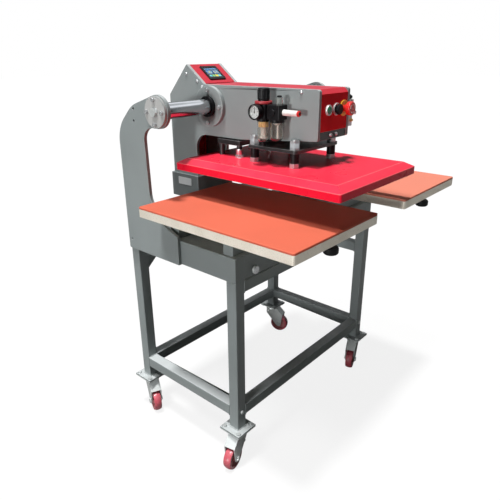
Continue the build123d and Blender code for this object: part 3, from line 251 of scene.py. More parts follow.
def siliconeFinish():
    # Silicone sheet with pores and lint. The right pad is painted paler, a painted glare.
    finish = Finish("siliconePad", {"Specular IOR Level": silicone["gloss"]})
    colour = silicone["colour"]
    cloud = finish.ramp(finish.noise(3.5, 5, 0.6), 0.3, 0.75)
    pores = finish.noise(silicone["poreScale"], 2, 0.6)
    lint = finish.ramp(finish.noise(silicone["lintScale"], 6, 0.8), 0.70, 0.76)
    base = finish.mix(cloud, shifted(colour, 0.94), shifted(colour, 1.05))
    # Painted glare: the pad on the right of the machine is mixed towards a paler tone
    across = finish.node("ShaderNodeSeparateXYZ", sockets={0: finish.place()}, output="X")
    rightPad = finish.ramp(across, -0.02, 0.02)
    base = finish.mix(rightPad * silicone["glareShare"], base, silicone["glareTone"])
    finish.feed("Base Color", finish.mix(lint * 0.25, base, silicone["lint"]))
    finish.feed("Roughness", 0.62 + cloud * 0.08)
    finish.bump(pores * 0.5 + cloud * 0.8, 0.0008, 0.3)
    return finish.material


def clearFinish(name, colour, roughness, density):
    finish = Finish(name, {"Transmission Weight": 1.0, "IOR": density})
    haze = finish.noise(50, 4)
    finish.feed("Base Color", finish.mix(haze, shifted(colour, 0.96), colour))
    finish.feed("Roughness", roughness + haze * 0.05)
    return finish.material


def glowFinish(name, colour, strength):
    constants = {"Emission Strength": strength, "Roughness": 0.2, "Base Color": shifted(colour, 0.3)}
    finish = Finish(name, constants)
    drift = finish.noise(40, 2)
    finish.feed("Emission Color", finish.mix(drift, shifted(colour, 0.9), colour))
    return finish.material


finishes = {name: paint(name) for name in paints}
# Edge finishes for the bevel faces: lighter tones that paint a highlight along every edge, with wear chips
finishes["greyEdge"] = edgeHighlightAndWear("greyEdge", paints["greyPaint"]["colour"])
finishes["redEdge"] = edgeHighlightAndWear("redEdge", paints["redPaint"]["colour"])
finishes["platenEdge"] = edgeHighlightAndWear("platenEdge", tone(0.76, 0.07, 0.09))
finishes["blackEdge"] = edgeHighlightAndWear("blackEdge", tone(0.14, 0.14, 0.14))
finishes["castTable"] = castFinish()
finishes["siliconePad"] = siliconeFinish()
everyWay = (1, 1, 1)
metals = {  # colour, roughness, stretch of the drawn lines, their depth, share of metal
    "machinedAluminium": (tone(0.72, 0.73, 0.74), 0.34, (0.08, 3, 3), 0.3),
    "castAluminium": (tone(0.60, 0.61, 0.62), 0.48, everyWay, 0.6),
    "chromeSteel": (tone(0.60, 0.61, 0.63), 0.08, (0.05, 2, 2), 0.08),
    "zincSteel": (tone(0.58, 0.59, 0.60), 0.32, everyWay, 0.25),
    "casterZinc": (tone(0.66, 0.69, 0.68), 0.34, everyWay, 0.4, 0.55),
    "brassFitting": (tone(0.72, 0.50, 0.22), 0.3, everyWay, 0.2),
}
plastics = {  # colour, roughness, depth of the grain, coat, gloss
    "blackPlastic": (tone(0.006, 0.006, 0.007), 0.36, 0.6, 0.0, 0.16),
    "whitePlastic": (tone(0.80, 0.79, 0.76), 0.35, 0.3),
    "redPlastic": (tone(0.66, 0.018, 0.016), 0.25, 0.2, 0.4),
    "lockRed": (tone(0.36, 0.022, 0.03), 0.4, 0.3),
    "yellowPlastic": (tone(0.85, 0.52, 0.03), 0.35, 0.3),
    "greenPlastic": (tone(0.012, 0.14, 0.055), 0.22, 0.2, 0.4),
    "amberPlastic": (tone(0.85, 0.50, 0.18), 0.3, 0.3),
    "wheelRed": (tone(0.56, 0.10, 0.13), 0.30, 0.5, 0.3),
    "wheelHub": (tone(0.50, 0.20, 0.20), 0.42, 0.4),
    "dialWhite": (tone(0.86, 0.86, 0.84), 0.5, 0.1),
    "dialBlack": (tone(0.02, 0.02, 0.02), 0.5, 0.1),
    "insulation": (tone(0.72, 0.69, 0.62), 0.85, 1.0),
}
clears = {  # colour, roughness, optical density
    "clearBowl": (tone(0.93, 0.91, 0.86), 0.04, 1.42),
    "clearGlass": (tone(0.97, 0.98, 0.98), 0.01, 1.42),
    "screenGlass": (tone(0.97, 0.98, 0.98), 0.02, 1.12),
}
glows = {  # colour and strength
    "screenDark": (tone(0.01, 0.03, 0.05), 0.4),
    "screenBlue": (tone(0.02, 0.17, 0.40), 0.8),
    "screenCyan": (tone(0.08, 0.50, 0.55), 0.9),
    "screenYellow": (tone(0.80, 0.66, 0.06), 1.0),
    "screenGreen": (tone(0.16, 0.52, 0.10), 1.0),
}
for maker, looks in ((metal, metals), (moulded, plastics), (clearFinish, clears), (glowFinish, glows)):
    for name, look in looks.items():
        finishes[name] = maker(name, *look)
print("finishes done", len(finishes))


# CAD nodes keep their shape and get their finish, with softened edges that catch the light. Their bevel faces
# take a lighter edge finish: a painted highlight along every edge, with paler wear chips.
softening = {"weld": 0.00002, "painted": 0.0008, "bare": 0.0004, "platen": 0.0016,  # metres
             "flat": 0.8, "corner": 32, "platenCorner": 20}  # degrees


def dress(name, body, edge, bevel, corner=softening["corner"]):
    node = cadNodes[name]
    mesh = node.data
    mesh.materials.clear()
    mesh.materials.append(finishes[body])
    mesh.materials.append(finishes[edge])
    mesh.polygons.foreach_set("material_index", [0] * len(mesh.polygons))
    mesh.polygons.foreach_set("use_smooth", [True] * len(mesh.polygons))
    joined = node.modifiers.new("joined", "WELD")
    joined.merge_threshold = softening["weld"]
    flat = node.modifiers.new("flat", "DECIMATE")
    flat.decimate_type = "DISSOLVE"
    flat.angle_limit = math.radians(softening["flat"])
    soft = node.modifiers.new("soft", "BEVEL")
    soft.width = bevel
    soft.segments = 2
    soft.limit_method = "ANGLE"
    soft.angle_limit = math.radians(corner)
    soft.use_clamp_overlap = False
    # The bevel faces take the second, lighter finish: a painted edge highlight
    soft.material = 1
    node.modifiers.new("even", "WEIGHTED_NORMAL").keep_sharp = False


dressed = {
    "greyPaint": ["stand_legs", "stand_lower_rails", "stand_upper_rails", "base_rails", "base_deck",
                  "table_supports", "arm_left", "arm_right", "rear_guide_rail", "head_plate_left",
                  "head_plate_right", "shaft_bearings"],
    "paleGreyPaint": ["shaft_end_discs"],
    # Painted shade: the column base gets the darker grey in place of the head's shadow
    "paintedShadeGrey": ["column_base"],
    "redPaint": ["head_top_cover", "front_panel", "console_cover", "rear_cover"],
    "blackPaint": ["head_tie_blocks", "lift_plate", "platen_guide"],
    "castTable": ["table_base_left", "table_base_right"],
    "machinedAluminium": ["heating_plate"],
    "castAluminium": ["air_cylinder", "solenoid_valve"],
    "chromeSteel": ["shuttle_shaft", "piston_rod"],
    "zincSteel": ["head_bolts", "guide_roller_front", "guide_roller_rear", "platen_studs"],
    "casterZinc": ["caster_plates", "caster_brake_front_left", "caster_brake_front_right", "switch_bodies",
                   "frame_bolts"],
    "insulation": ["platen_insulation"],
    "blackPlastic": ["display_unit", "service_set", "platen_spacers", "table_knob_left", "table_knob_right",
                     "regulator_knob", "pressure_gauge", "black_button", "gauge_needle"],
    "greenPlastic": ["green_button"],
    "redPlastic": ["emergency_stop"],
    "clearBowl": ["service_bowls"],
    "wheelRed": [],
}
edges = {"greyPaint": "greyEdge", "paleGreyPaint": "greyEdge", "paintedShadeGrey": "greyEdge",
         "redPaint": "redEdge", "blackPaint": "blackEdge"}
casters = {  # where each swivel axis stands and which way its wheel trails
    "front_left": (-395, -101.5, 192),
    "rear_left": (-395, 372.5, 246),
    "front_right": (395, -101.5, 198),
    "rear_right": (395, 372.5, 288),
}
for corner in casters:
    dressed["casterZinc"].append("caster_fork_" + corner)
    dressed["wheelRed"].append("caster_wheel_" + corner)
for finishName, names in dressed.items():
    bevel = softening["painted" if finishName in edges else "bare"]
    for name in names:
        dress(name, finishName, edges.get(finishName, finishName), bevel)
dress("platen_cover", "platenRed", "platenEdge", softening["platen"], softening["platenCorner"])
print("CAD nodes dressed", 1 + sum(len(names) for names in dressed.values()))


# Shapes are drawn in millimetres, in the frame of the machine
left, right, front, rear = (-1, 0, 0), (1, 0, 0), (0, -1, 0), (0, 1, 0)


def shift(x, y, z):
    return Matrix.Translation((x, y, z))


def aimed(x, y, z, way=(0, 0, 1), turn=0.0):
    # A place whose local Z looks along way and whose local Y stays upright
    track = Vector(way).to_track_quat("Z", "Y").to_matrix().to_4x4()
    return shift(x, y, z) @ track @ Matrix.Rotation(math.radians(turn), 4, "Z")


def circle(radius, height, steps=36):
    angles = [2 * math.pi * step / steps for step in range(steps)]
    return [(radius * math.cos(angle), radius * math.sin(angle), height) for angle in angles]


def hexagon(flats, height, steps=36):
    ring = []
    for step in range(steps):
        angle = 2 * math.pi * step / steps
        reach = flats / 2 / math.cos((angle + math.pi / 6) % (math.pi / 3) - math.pi / 6)
        ring.append((reach * math.cos(angle), reach * math.sin(angle), height))
    return ring


def roundedRing(width, depth, radius, height, steps=4):
    ring = []
    radius = max(radius, 0.05)
    for side, (signX, signY) in enumerate([(1, 1), (-1, 1), (-1, -1), (1, -1)]):
        for step in range(steps + 1):
            angle = math.radians(90 * side + 90 * step / steps)
            x = signX * (width / 2 - radius) + radius * math.cos(angle)
            ring.append((x, signY * (depth / 2 - radius) + radius * math.sin(angle), height))
    return ring


class Sculpt:
    def __init__(self):
        self.bm = bmesh.new()

    def loft(self, rings, place=Matrix(), hollow=False):
        # A skin over rings of equally many points. A hollow one joins its last ring to its first.
        rows = [[self.bm.verts.new((place @ Vector(point)) * mm) for point in ring] for ring in rings]
        pairs = list(zip(rows, rows[1:]))
        if hollow:
            pairs.append((rows[-1], rows[0]))
        count = len(rows[0])
        for low, high in pairs:
            for step in range(count):
                after = (step + 1) % count
                self.bm.faces.new((low[step], low[after], high[after], high[step]))
        if not hollow:
            self.bm.faces.new(list(reversed(rows[0])))
            self.bm.faces.new(rows[-1])

    def lathe(self, profile, place, steps=32, hollow=False):
        self.loft([circle(radius, height, steps) for radius, height in profile], place, hollow)

    def slab(self, width, depth, height, place, corner, soft):
        # A plate on its place with rounded corners and softened edges
        levels = [(soft, 0), (0, soft), (0, height - soft), (soft, height)]
        rings = [roundedRing(width - 2 * cut, depth - 2 * cut, corner - cut, level) for cut, level in levels]
        self.loft(rings, place)

    def nut(self, profile, place):
        self.loft([hexagon(flats, height) for flats, height in profile], place)

    def bead(self, path, radius, stride, uneven, steps=8):
        # A closed weld bead of uneven thickness that follows a flat path
        corners = [Vector(corner) for corner in path]
        normal = (corners[1] - corners[0]).cross(corners[2] - corners[1]).normalized()
        points = []
        for start, end in zip(corners, corners[1:] + corners[:1]):
            count = max(1, round((end - start).length / stride))
            points += [start.lerp(end, step / count) for step in range(count)]
        rings = []
        for index, point in enumerate(points):
            ahead = (points[(index + 1) % len(points)] - points[index - 1]).normalized()
            side = ahead.cross(normal)
            swell = radius * (1 + random.uniform(-uneven, uneven))
            rings.append([point + normal * u + side * v for u, v, w in circle(swell, 0, steps)])
        self.loft(rings, hollow=True)

    def digits(self, text, size, place, thick):
        curve = bpy.data.curves.new("digits", "FONT")
        curve.body = text
        curve.size = size
        curve.align_x = "CENTER"
        curve.align_y = "CENTER"
        curve.extrude = thick
        letter = bpy.data.objects.new("digits", curve)
        mesh = bpy.data.meshes.new_from_object(letter)
        mesh.transform(Matrix.Scale(mm, 4) @ place)
        self.bm.from_mesh(mesh)
        bpy.data.objects.remove(letter)
        bpy.data.meshes.remove(mesh)

    def piece(self, name, body, finishName, smooth=35):
        bmesh.ops.recalc_face_normals(self.bm, faces=self.bm.faces)
        mesh = bpy.data.meshes.new(name)
        self.bm.to_mesh(mesh)
        self.bm.free()
        mesh.polygons.foreach_set("use_smooth", [True] * len(mesh.polygons))
        mesh.set_sharp_from_angle(angle=math.radians(smooth))
        mesh.materials.append(finishes[finishName])
        made = bpy.data.objects.new(name, mesh)
        scene.collection.objects.link(made)
        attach(made, body)
        return made


def turned(name, body, finishName, profile, place, steps=32, hollow=False):
    shape = Sculpt()
    shape.lathe(profile, place, steps, hollow)
    shape.piece(name, body, finishName)


# Weld beads round the ends of the rails and the feet of the legs
stand = {"legX": 375, "legFront": -81.5, "legRear": 352.5, "sideX": 395, "frontY": -101.5, "rearY": 372.5,
         "half": 20, "footZ": 151, "lowerZ": 217, "middleZ": 580, "upperZ": 683, "plateTop": 150,
         "plateBolt": 33, "beadRadius": 1.9, "beadStride": 1.3, "beadUneven": 0.1}


def squareLoop(x, y, z, across):
    # Corners round a square tube that ends on a face across x, y or z
    half = stand["half"]
    loop = []
    for u, v in ((-half, -half), (half, -half), (half, half), (-half, half)):
        moveX, moveY, moveZ = {"x": (0, u, v), "y": (u, 0, v), "z": (u, v, 0)}[across]
        loop.append((x + moveX, y + moveY, z + moveZ))
    return loop


def weldBeads():
    beads = Sculpt()
    loops = []
    for y in (stand["frontY"], stand["rearY"]):
        for x in (-stand["legX"], stand["legX"]):
            loops += [squareLoop(x, y, z, "x") for z in (stand["lowerZ"], stand["upperZ"])]
    for y in (stand["legFront"], stand["legRear"]):
        loops += [squareLoop(x, y, stand["lowerZ"], "y") for x in (-stand["sideX"], stand["sideX"])]
        loops.append(squareLoop(stand["sideX"], y, stand["middleZ"], "y"))
    loops += [squareLoop(x, y, stand["footZ"], "z") for x, y, heading in casters.values()]
    for loop in loops:
        beads.bead(loop, stand["beadRadius"], stand["beadStride"], stand["beadUneven"])
    beads.piece("weld_beads", "frame", "greyPaint", 60)


weldBeads()
print("weld beads done")

# Socket screws, button screws and washers over the plain bolt heads
shaftLine = {"y": 176.5, "z": 1188, "discX": 437, "discCircle": 36, "discTurn": 17, "flangeCircle": 52,
             "flangeTurn": 23}
headScrews = {"middleX": -115, "plateHalf": 82.5, "flangeHeight": 15, "frontY": -247.5, "rearY": 383.5,
              "sidePlaces": [(-186.5, 1247), (-27.5, 1247), (217.5, 1247), (239.5, 1265), (291.5, 1287)],
              "sideTurn": 31, "frontPlaces": [(-130, 1126.5), (-100, 1126.5)],
              "rearPlaces": [(x, z) for x in (-176, -54) for z in (952, 1078, 1205)]}
screwHeads = {"cap": (6.6, 7.4, 6), "side": (5.5, 4.2, 3.2), "front": (5.5, 3.4, 3.2), "rear": (5, 2.8, 3),
              "service": (3, 1.8, 2)}  # radius, height, socket
buttonDome = [(1, 0), (0.97, 0.4), (0.82, 0.8), (0.6, 1)]  # shares of radius and height
washers = {"disc": (7.2, 15.2, 1.7), "caster": (4.2, 8.6, 1.3), "post": (9.1, 15, 1.3)}  # bore, rim, top
frontLock = {"x": 323, "y": -126.5, "z": 723, "turn": 25, "slot": (2.2, 9, 0.9), "slotLevel": 0.6,
             "barrel": [(12.8, -0.2), (12.8, 0.3), (11.8, 1.0), (5.0, 1.3), (4.2, 0.6)]}


def socketScrew(shape, place, chamfer=0.6, sunk=2.4):
    # Cap head with a chamfered rim and a sunk hexagon
    radius, height, socket = screwHeads["cap"]
    rings = [circle(radius, 0), circle(radius, height - chamfer), circle(radius - chamfer, height),
             hexagon(socket, height), hexagon(socket, height - sunk)]
    shape.loft(rings, place)


def buttonScrew(shape, place, kind, sunk=0.45):
    radius, height, socket = screwHeads[kind]
    rings = [circle(radius * size, height * level) for size, level in buttonDome]
    shape.loft(rings + [hexagon(socket, height), hexagon(socket, height * sunk)], place)


def washer(shape, place, kind, low=0.05, soft=0.3):
    bore, rim, top = washers[kind]
    profile = [(bore, low), (rim - soft, low), (rim, low + soft), (rim, top - soft), (rim - soft, top),
               (bore, top)]
    shape.lathe(profile, place, 40, hollow=True)


def shaftScrews(shape, x, side, radius, turn):
    # Four cap screws round the shaft, each stopped at its own angle
    for step in range(4):
        angle = math.radians(90 * step)
        y = shaftLine["y"] + radius * math.cos(angle)
        z = shaftLine["z"] + radius * math.sin(angle)
        socketScrew(shape, aimed(x, y, z, (side, 0, 0), turn * step))


def frameFasteners():
    screws = Sculpt()
    for side in (-1, 1):
        x = side * shaftLine["discX"]
        shaftScrews(screws, x, side, shaftLine["discCircle"], shaftLine["discTurn"])
        washer(screws, aimed(x, shaftLine["y"], shaftLine["z"], (side, 0, 0)), "disc")
        lock = aimed(side * frontLock["x"], frontLock["y"], frontLock["z"], front, frontLock["turn"])
        screws.lathe(frontLock["barrel"], lock, 40)
        screws.slab(*frontLock["slot"], lock @ shift(0, 0, frontLock["slotLevel"]), 0.8, 0.1)
    bolt = stand["plateBolt"]
    for x, y, heading in casters.values():
        for stepX, stepY in ((-bolt, -bolt), (-bolt, bolt), (bolt, -bolt), (bolt, bolt)):
            washer(screws, aimed(x + stepX, y + stepY, stand["plateTop"]), "caster")
    screws.piece("frame_screws", "frame", "zincSteel")


def headFasteners():
    screws = Sculpt()
    for side in (-1, 1):
        face = headScrews["middleX"] + side * headScrews["plateHalf"]
        flange = face + side * headScrews["flangeHeight"]
        shaftScrews(screws, flange, side, shaftLine["flangeCircle"], shaftLine["flangeTurn"])
        for step, (y, z) in enumerate(headScrews["sidePlaces"]):
            buttonScrew(screws, aimed(face, y, z, (side, 0, 0), headScrews["sideTurn"] * step), "side")
    for x, z in headScrews["frontPlaces"]:
        buttonScrew(screws, aimed(x, headScrews["frontY"], z, front, x), "front")
    for x, z in headScrews["rearPlaces"]:
        buttonScrew(screws, aimed(x, headScrews["rearY"], z, rear, x + z), "rear")
    screws.piece("head_screws", "head", "zincSteel")


frameFasteners()
headFasteners()
print("screws done")

# Pressed louvres in the rear cover, each with a black strip below it: painted shade standing in for the
# shaded opening
louvre = {"count": 6, "low": 1118, "pitch": 13, "size": (76, 7, 3.4), "corner": 3.4, "soft": 1.6,
          "slot": (72, 1.4, 0.3), "slotShadowPlace": (0, -4.2, 0.05)}


def rearVents():
    louvres = Sculpt()
    slotShadows = Sculpt()
    for step in range(louvre["count"]):
        level = louvre["low"] + louvre["pitch"] * step
        place = aimed(headScrews["middleX"], headScrews["rearY"], level, rear)
        louvres.slab(*louvre["size"], place, louvre["corner"], louvre["soft"])
        # Black strip: painted shade in the opening under the louvre
        slotShadows.slab(*louvre["slot"], place @ shift(*louvre["slotShadowPlace"]), 0.6, 0.1)
    louvres.piece("rear_louvres", "head", "redPaint", 50)
    slotShadows.piece("rear_slot_shadows", "head", "dialBlack")


# Black rubber wipers over the mouths of the two bearings
shaftSeal = {"boss": 6,
             "profile": [(32.15, -5.9), (33.4, -5.9), (33.7, -5.3), (33.7, 2.0), (32.5, 3.2), (26.6, 3.2),
                         (25.25, 1.8), (25.25, 0.9), (26.4, 0.15), (32.15, 0.15)]}


def shaftSeals():
    seals = Sculpt()
    reach = headScrews["plateHalf"] + headScrews["flangeHeight"] + shaftSeal["boss"]
    for side in (-1, 1):
        mouth = aimed(headScrews["middleX"] + side * reach, shaftLine["y"], shaftLine["z"], (side, 0, 0))
        seals.lathe(shaftSeal["profile"], mouth, 56, hollow=True)
    seals.piece("shaft_seals", "head", "blackPlastic")


rearVents()
shaftSeals()
print("louvres and wipers done")

# Bare plate on the left of the column's foot
footPlate = {"place": (-205, 319.5, 913.5), "size": (69, 27, 0.9), "corner": 2.5,
             "rivets": [(-31, -10), (-31, 10), (31, -10), (31, 10)],
             "rivet": [(1.8, 0.9), (1.7, 1.4), (1.1, 1.8), (0.2, 1.95)]}


def columnPlate():
    plate = Sculpt()
    place = aimed(*footPlate["place"], left)
    plate.slab(*footPlate["size"], place, footPlate["corner"], 0.2)
    for x, y in footPlate["rivets"]:
        plate.lathe(footPlate["rivet"], place @ shift(x, y, 0), 16)
    plate.piece("column_plate", "head", "machinedAluminium")


columnPlate()

# Screen of the controller on the console slope. Each layer has its level, thickness, corner and soft edge.
screen = {"hinge": (-115, 208.5, 1256), "slope": 37.43, "middle": 51.0, "width": 61.4, "length": 47.4,
          "back": (2.6, 0.25, 0.8, 0.05), "tile": (2.9, 0.2, 1.0, 0.05), "digit": (3.1, 0.12, 0.2, 0.03),
          "glass": (3.35, 0.5, 0.8, 0.1), "readings": [("180", -22), ("015", 9)], "readingY": 2.6,
          "digitSize": 4.6, "digitPitch": 6.6, "barLength": 0.8, "barWidth": 0.22}
tiles = {  # middle, width and length of each
    "screenBlue": [(0, 18.2, 57, 6.4), (-15.5, 2.6, 26, 18.5), (15.5, 2.6, 26, 18.5)],
    "screenCyan": [(-21, -15.5, 12, 9), (21, -15.5, 12, 9)],
    "screenGreen": [(-7, -15.5, 12, 9)],
    "screenYellow": [(7, -15.5, 12, 9)],
}
segments = {"0": "abcdef", "1": "bc", "5": "afgcd", "8": "abcdefg"}
bars = {"a": (0, 1), "g": (0, 0), "d": (0, -1), "f": (-0.5, 0.5), "b": (0.5, 0.5), "e": (-0.5, -0.5),
        "c": (0.5, -0.5)}


def digitBars(digit, x, y):
    size = screen["digitSize"]
    long, thin = size * screen["barLength"], size * screen["barWidth"]
    places = []
    for bar in segments[digit]:
        stepX, stepY = bars[bar]
        places.append((x + stepX * size, y + stepY * size, thin if stepX else long, long if stepX else thin))
    return places


def screenPiece(name, layer, finishName, places):
    shape = Sculpt()
    level, thick, corner, soft = screen[layer]
    face = shift(*screen["hinge"]) @ Matrix.Rotation(math.radians(screen["slope"]), 4, "X")
    for x, y, width, length in places:
        shape.slab(width, length, thick, face @ shift(x, screen["middle"] + y, level), corner, soft)
    shape.piece("screen_" + name, "head", finishName)


def screenPieces():
    whole = [(0, 0, screen["width"], screen["length"])]
    screenPiece("back", "back", "screenDark", whole)
    for finishName, places in tiles.items():
        screenPiece(finishName[6:].lower(), "tile", finishName, places)
    places = []
    for reading, start in screen["readings"]:
        for index, digit in enumerate(reading):
            places += digitBars(digit, start + index * screen["digitPitch"], screen["readingY"])
    screenPiece("digits", "digit", "screenYellow", places)
    screenPiece("glass", "glass", "screenGlass", whole)


screenPieces()
print("plate and console done")

# Bezels, the ring below the stop button and the arrows on it
switches = {"seatY": -247.5, "z": 1198, "green": -150, "black": -108, "stop": -66, "lensY": -254,
            "arrowY": -278.5,
            "greenBezel": [(10.0, 0.1), (14.9, 0.1), (15.3, 0.8), (15.3, 4.2), (14.4, 5.6), (12.2, 5.9),
                           (10.6, 5.4), (10.0, 4.6)],
            "blackBezel": [(10.0, 0.1), (17.0, 0.1), (17.6, 0.9), (17.6, 3.8), (16.9, 4.7), (16.1, 4.7),
                           (15.5, 3.9), (15.5, 2.5), (10.0, 2.5)],
            "stopRing": [(10.2, 0.1), (22.4, 0.1), (23.0, 0.7), (23.0, 2.0), (22.2, 2.6), (10.2, 2.6)],
            "lens": [(9.3, -0.3), (9.3, 0.3), (8.4, 0.9), (5, 1.4), (0.5, 1.6)]}
stopArrow = {"count": 3, "radius": 12, "stride": 8, "parts": 9, "tail": 6, "half": 1.0, "barb": 1.3,
             "tip": 0.05, "low": -0.1, "top": 0.35}


def switchPlace(switch, y):
    return aimed(switches[switch], y, switches["z"], front)


def stopArrows():
    arrows = Sculpt()
    radius, low, top = stopArrow["radius"], stopArrow["low"], stopArrow["top"]
    for step in range(stopArrow["count"]):
        rings = []
        for part in range(stopArrow["parts"]):
            angle = math.radians(360 / stopArrow["count"] * step + stopArrow["stride"] * part)
            half = stopArrow["half"]
            if part >= stopArrow["tail"]:
                half = stopArrow["barb"] * (stopArrow["parts"] - 1 - part) + stopArrow["tip"]
            rings.append([((radius + across) * math.cos(angle), (radius + across) * math.sin(angle), level)
                          for across, level in ((-half, low), (half, low), (half, top), (-half, top))])
        arrows.loft(rings, switchPlace("stop", switches["arrowY"]))
    arrows.piece("stop_arrows", "emergency_stop", "whitePlastic")


def switchTrim():
    seat = switches["seatY"]
    rings = Sculpt()
    rings.lathe(switches["greenBezel"], switchPlace("green", seat), 40, hollow=True)
    rings.lathe(switches["blackBezel"], switchPlace("black", seat), 40, hollow=True)
    rings.piece("switch_bezels", "head", "casterZinc")
    turned("stop_ring", "head", "yellowPlastic", switches["stopRing"], switchPlace("stop", seat), 48, True)
    lensPlace = switchPlace("green", switches["lensY"])
    turned("green_lens", "green_button", "greenPlastic", switches["lens"], lensPlace, 36)


switchTrim()
stopArrows()
print("switches done")

# Pressure gauge: dial, marks, rim, glass and nut
gauge = {"place": (-275.5, -79, 1192.5), "dial": [(1.3, 0.05), (18.4, 0.05), (18.4, 0.35), (1.3, 0.35)],
         "sweep": 270, "marks": 25, "longMark": (0.7, 3.2), "shortMark": (0.35, 1.8), "markRim": 17.5,
         "markLevel": 0.32, "markThick": 0.15, "numberRadius": 11.8, "numberSize": 4.0, "numberLevel": 0.42,
         "numberThick": 0.06,
         "rim": [(18.5, 0.4), (18.5, 4.6), (19.6, 5.3), (21.6, 5.3), (22.3, 4.4), (22.3, 2.6), (21.3, 1.8),
                 (21.3, 0.4)],
         "glass": [(18.4, 3.3), (18.4, 4.0), (14, 4.5), (7, 4.8), (0.4, 4.9)],
         "nutPlace": (-255.5, -79, 1192.5), "nut": [(17, -0.2), (18, 0.6), (18, 6.6), (17, 7.4)]}


def gaugeMarks(face):
    # A long mark with its number at every fifth, short ones between
    marks = Sculpt()
    for step in range(gauge["marks"] + 1):
        major = step % 5 == 0
        width, length = gauge["longMark" if major else "shortMark"]
        angle = math.radians(gauge["sweep"] * step / gauge["marks"] - gauge["sweep"] / 2)
        spot = Matrix.Rotation(-angle, 4, "Z") @ shift(0, gauge["markRim"] - length / 2, gauge["markLevel"])
        marks.slab(width, length, gauge["markThick"], face @ spot, 0.1, 0.03)
        if major:
            radius = gauge["numberRadius"]
            spot = shift(radius * math.sin(angle), radius * math.cos(angle), gauge["numberLevel"])
            marks.digits(str(step // 5 * 2), gauge["numberSize"], face @ spot, gauge["numberThick"])
    marks.piece("gauge_marks", "head", "dialBlack")


def gaugePieces():
    face = aimed(*gauge["place"], left)
    turned("gauge_dial", "head", "dialWhite", gauge["dial"], face, 48, True)
    gaugeMarks(face)
    turned("gauge_rim", "head", "blackPlastic", gauge["rim"], face, 56, True)
    turned("gauge_glass", "head", "clearGlass", gauge["glass"], face, 48)
    nut = Sculpt()
    nut.nut(gauge["nut"], aimed(*gauge["nutPlace"], left))
    nut.piece("gauge_nut", "head", "brassFitting")


gaugePieces()
print("gauge done")

# Filter, regulator and lubricator set. The collar's numbers count from a bowl's radius and the body's foot.
service = {"x": -235.5, "leftX": -255.5, "filterY": -79, "oilerY": -129.5, "low": 1172, "top": 1213,
           "ring": [(25.2, 0.1), (25.7, 0.8), (25.7, 7.4), (24.9, 8.3)], "ringBore": 17.2, "grips": 24,
           "dip": 0.982, "filterBowl": 18, "oilerBowl": 19, "lugs": 12, "lug": (2.2, 2.2, 7.2),
           "collar": [(-0.4, -9), (1.2, -9), (1.9, -8.2), (1.9, -1), (1.2, -0.1), (-0.4, -0.1)],
           "screwY": 15.5, "screwZ": 1208, "capY": -137.5,
           "cap": [(7.2, 1234.6), (7.2, 1236.2), (6.4, 1238.4), (3, 1239)],
           "blank": [(15, -0.2), (16, 0.6), (16, 2.6), (15, 3.2)],
           "drain": [(6.5, 1091.5), (6.5, 1098), (9.5, 1099.5), (9.5, 1103)],
           "band": [(11.6, 1162.8), (15.4, 1162.8), (15.7, 1147), (11.8, 1147)],
           "element": [(8.5 + 0.5 * (step % 2), 1120 + 2.5 * step) for step in range(13)],
           "elementFoot": [(11.5, 1114), (12.5, 1115), (12.5, 1117.5), (9, 1119.5)],
           "pipeX": 4, "pipe": [(2.2, 1116), (2.2, 1171)], "pipeHead": [(7, 1156), (10, 1160), (10, 1171)],
           "outletY": -153.5, "outletZ": 1192.5,
           "sleeve": [(8.2, 0.2), (8.6, 0.6), (8.6, 15), (7.7, 15.8), (8.2, 16.6), (8.2, 49), (7.4, 50.5)],
           "release": [(4.2, 50), (7.8, 50), (8.5, 51), (8.5, 54.8), (7.2, 56.3), (4.2, 56.5)],
           "knobCap": [(13.5, 1256.9), (13.5, 1257.5), (12.8, 1258.1), (0.5, 1258.3)]}


def knurled(radius, height, dip=1.0):
    # A ring of points that dips between the grips of the lock ring
    ring = circle(radius, height, 4 * service["grips"])
    return [(x * dip, y * dip, z) if step % 4 < 2 else (x, y, z) for step, (x, y, z) in enumerate(ring)]


def bowlCollar(shape, y, bowl):
    x, low = service["x"], service["low"]
    profile = [(bowl + out, low + up) for out, up in service["collar"]]
    shape.lathe(profile, aimed(x, y, 0), 48, hollow=True)
    reach, foot = profile[2]
    for step in range(service["lugs"]):
        angle = 2 * math.pi * step / service["lugs"]
        spot = aimed(x + reach * math.cos(angle), y + reach * math.sin(angle), foot)
        shape.slab(*service["lug"], spot, 1.0, 0.3)
    for side in (-service["screwY"], service["screwY"]):
        buttonScrew(shape, aimed(service["leftX"], y + side, service["screwZ"], left), "service")


def serviceTrim():
    x, filterY, oilerY = service["x"], service["filterY"], service["oilerY"]
    ring = Sculpt()
    grips = [knurled(radius, height, service["dip"]) for radius, height in service["ring"]]
    bore = [knurled(service["ringBore"], service["ring"][end][1]) for end in (0, -1)]
    ring.loft([bore[0], *grips, bore[1]], aimed(x, filterY, service["top"]), hollow=True)
    ring.piece("regulator_ring", "head", "lockRed", 60)
    black = Sculpt()
    bowlCollar(black, filterY, service["filterBowl"])
    bowlCollar(black, oilerY, service["oilerBowl"])
    black.lathe(service["cap"], aimed(x, service["capY"], 0))
    black.nut(service["blank"], aimed(service["leftX"], oilerY, service["outletZ"], left))
    filterLine = aimed(x, filterY, 0)
    black.lathe(service["drain"], filterLine, 24)
    black.piece("service_trim", "head", "blackPlastic")
    turned("service_amber", "head", "amberPlastic", service["band"], filterLine, 40, True)
    inner = Sculpt()
    inner.lathe(service["element"], filterLine)
    inner.lathe(service["elementFoot"], filterLine)
    inner.lathe(service["pipe"], aimed(x + service["pipeX"], oilerY, 0), 16)
    inner.lathe(service["pipeHead"], aimed(x, oilerY, 0), 24)
    inner.piece("service_inner", "head", "whitePlastic")
    outlet = aimed(x, service["outletY"], service["outletZ"], front)
    turned("outlet_sleeve", "head", "whitePlastic", service["sleeve"], outlet)
    turned("outlet_collar", "head", "redPlastic", service["release"], outlet, hollow=True)
    turned("knob_cap", "regulator_knob", "blackPlastic", service["knobCap"], filterLine, 40)


serviceTrim()
print("service set done")

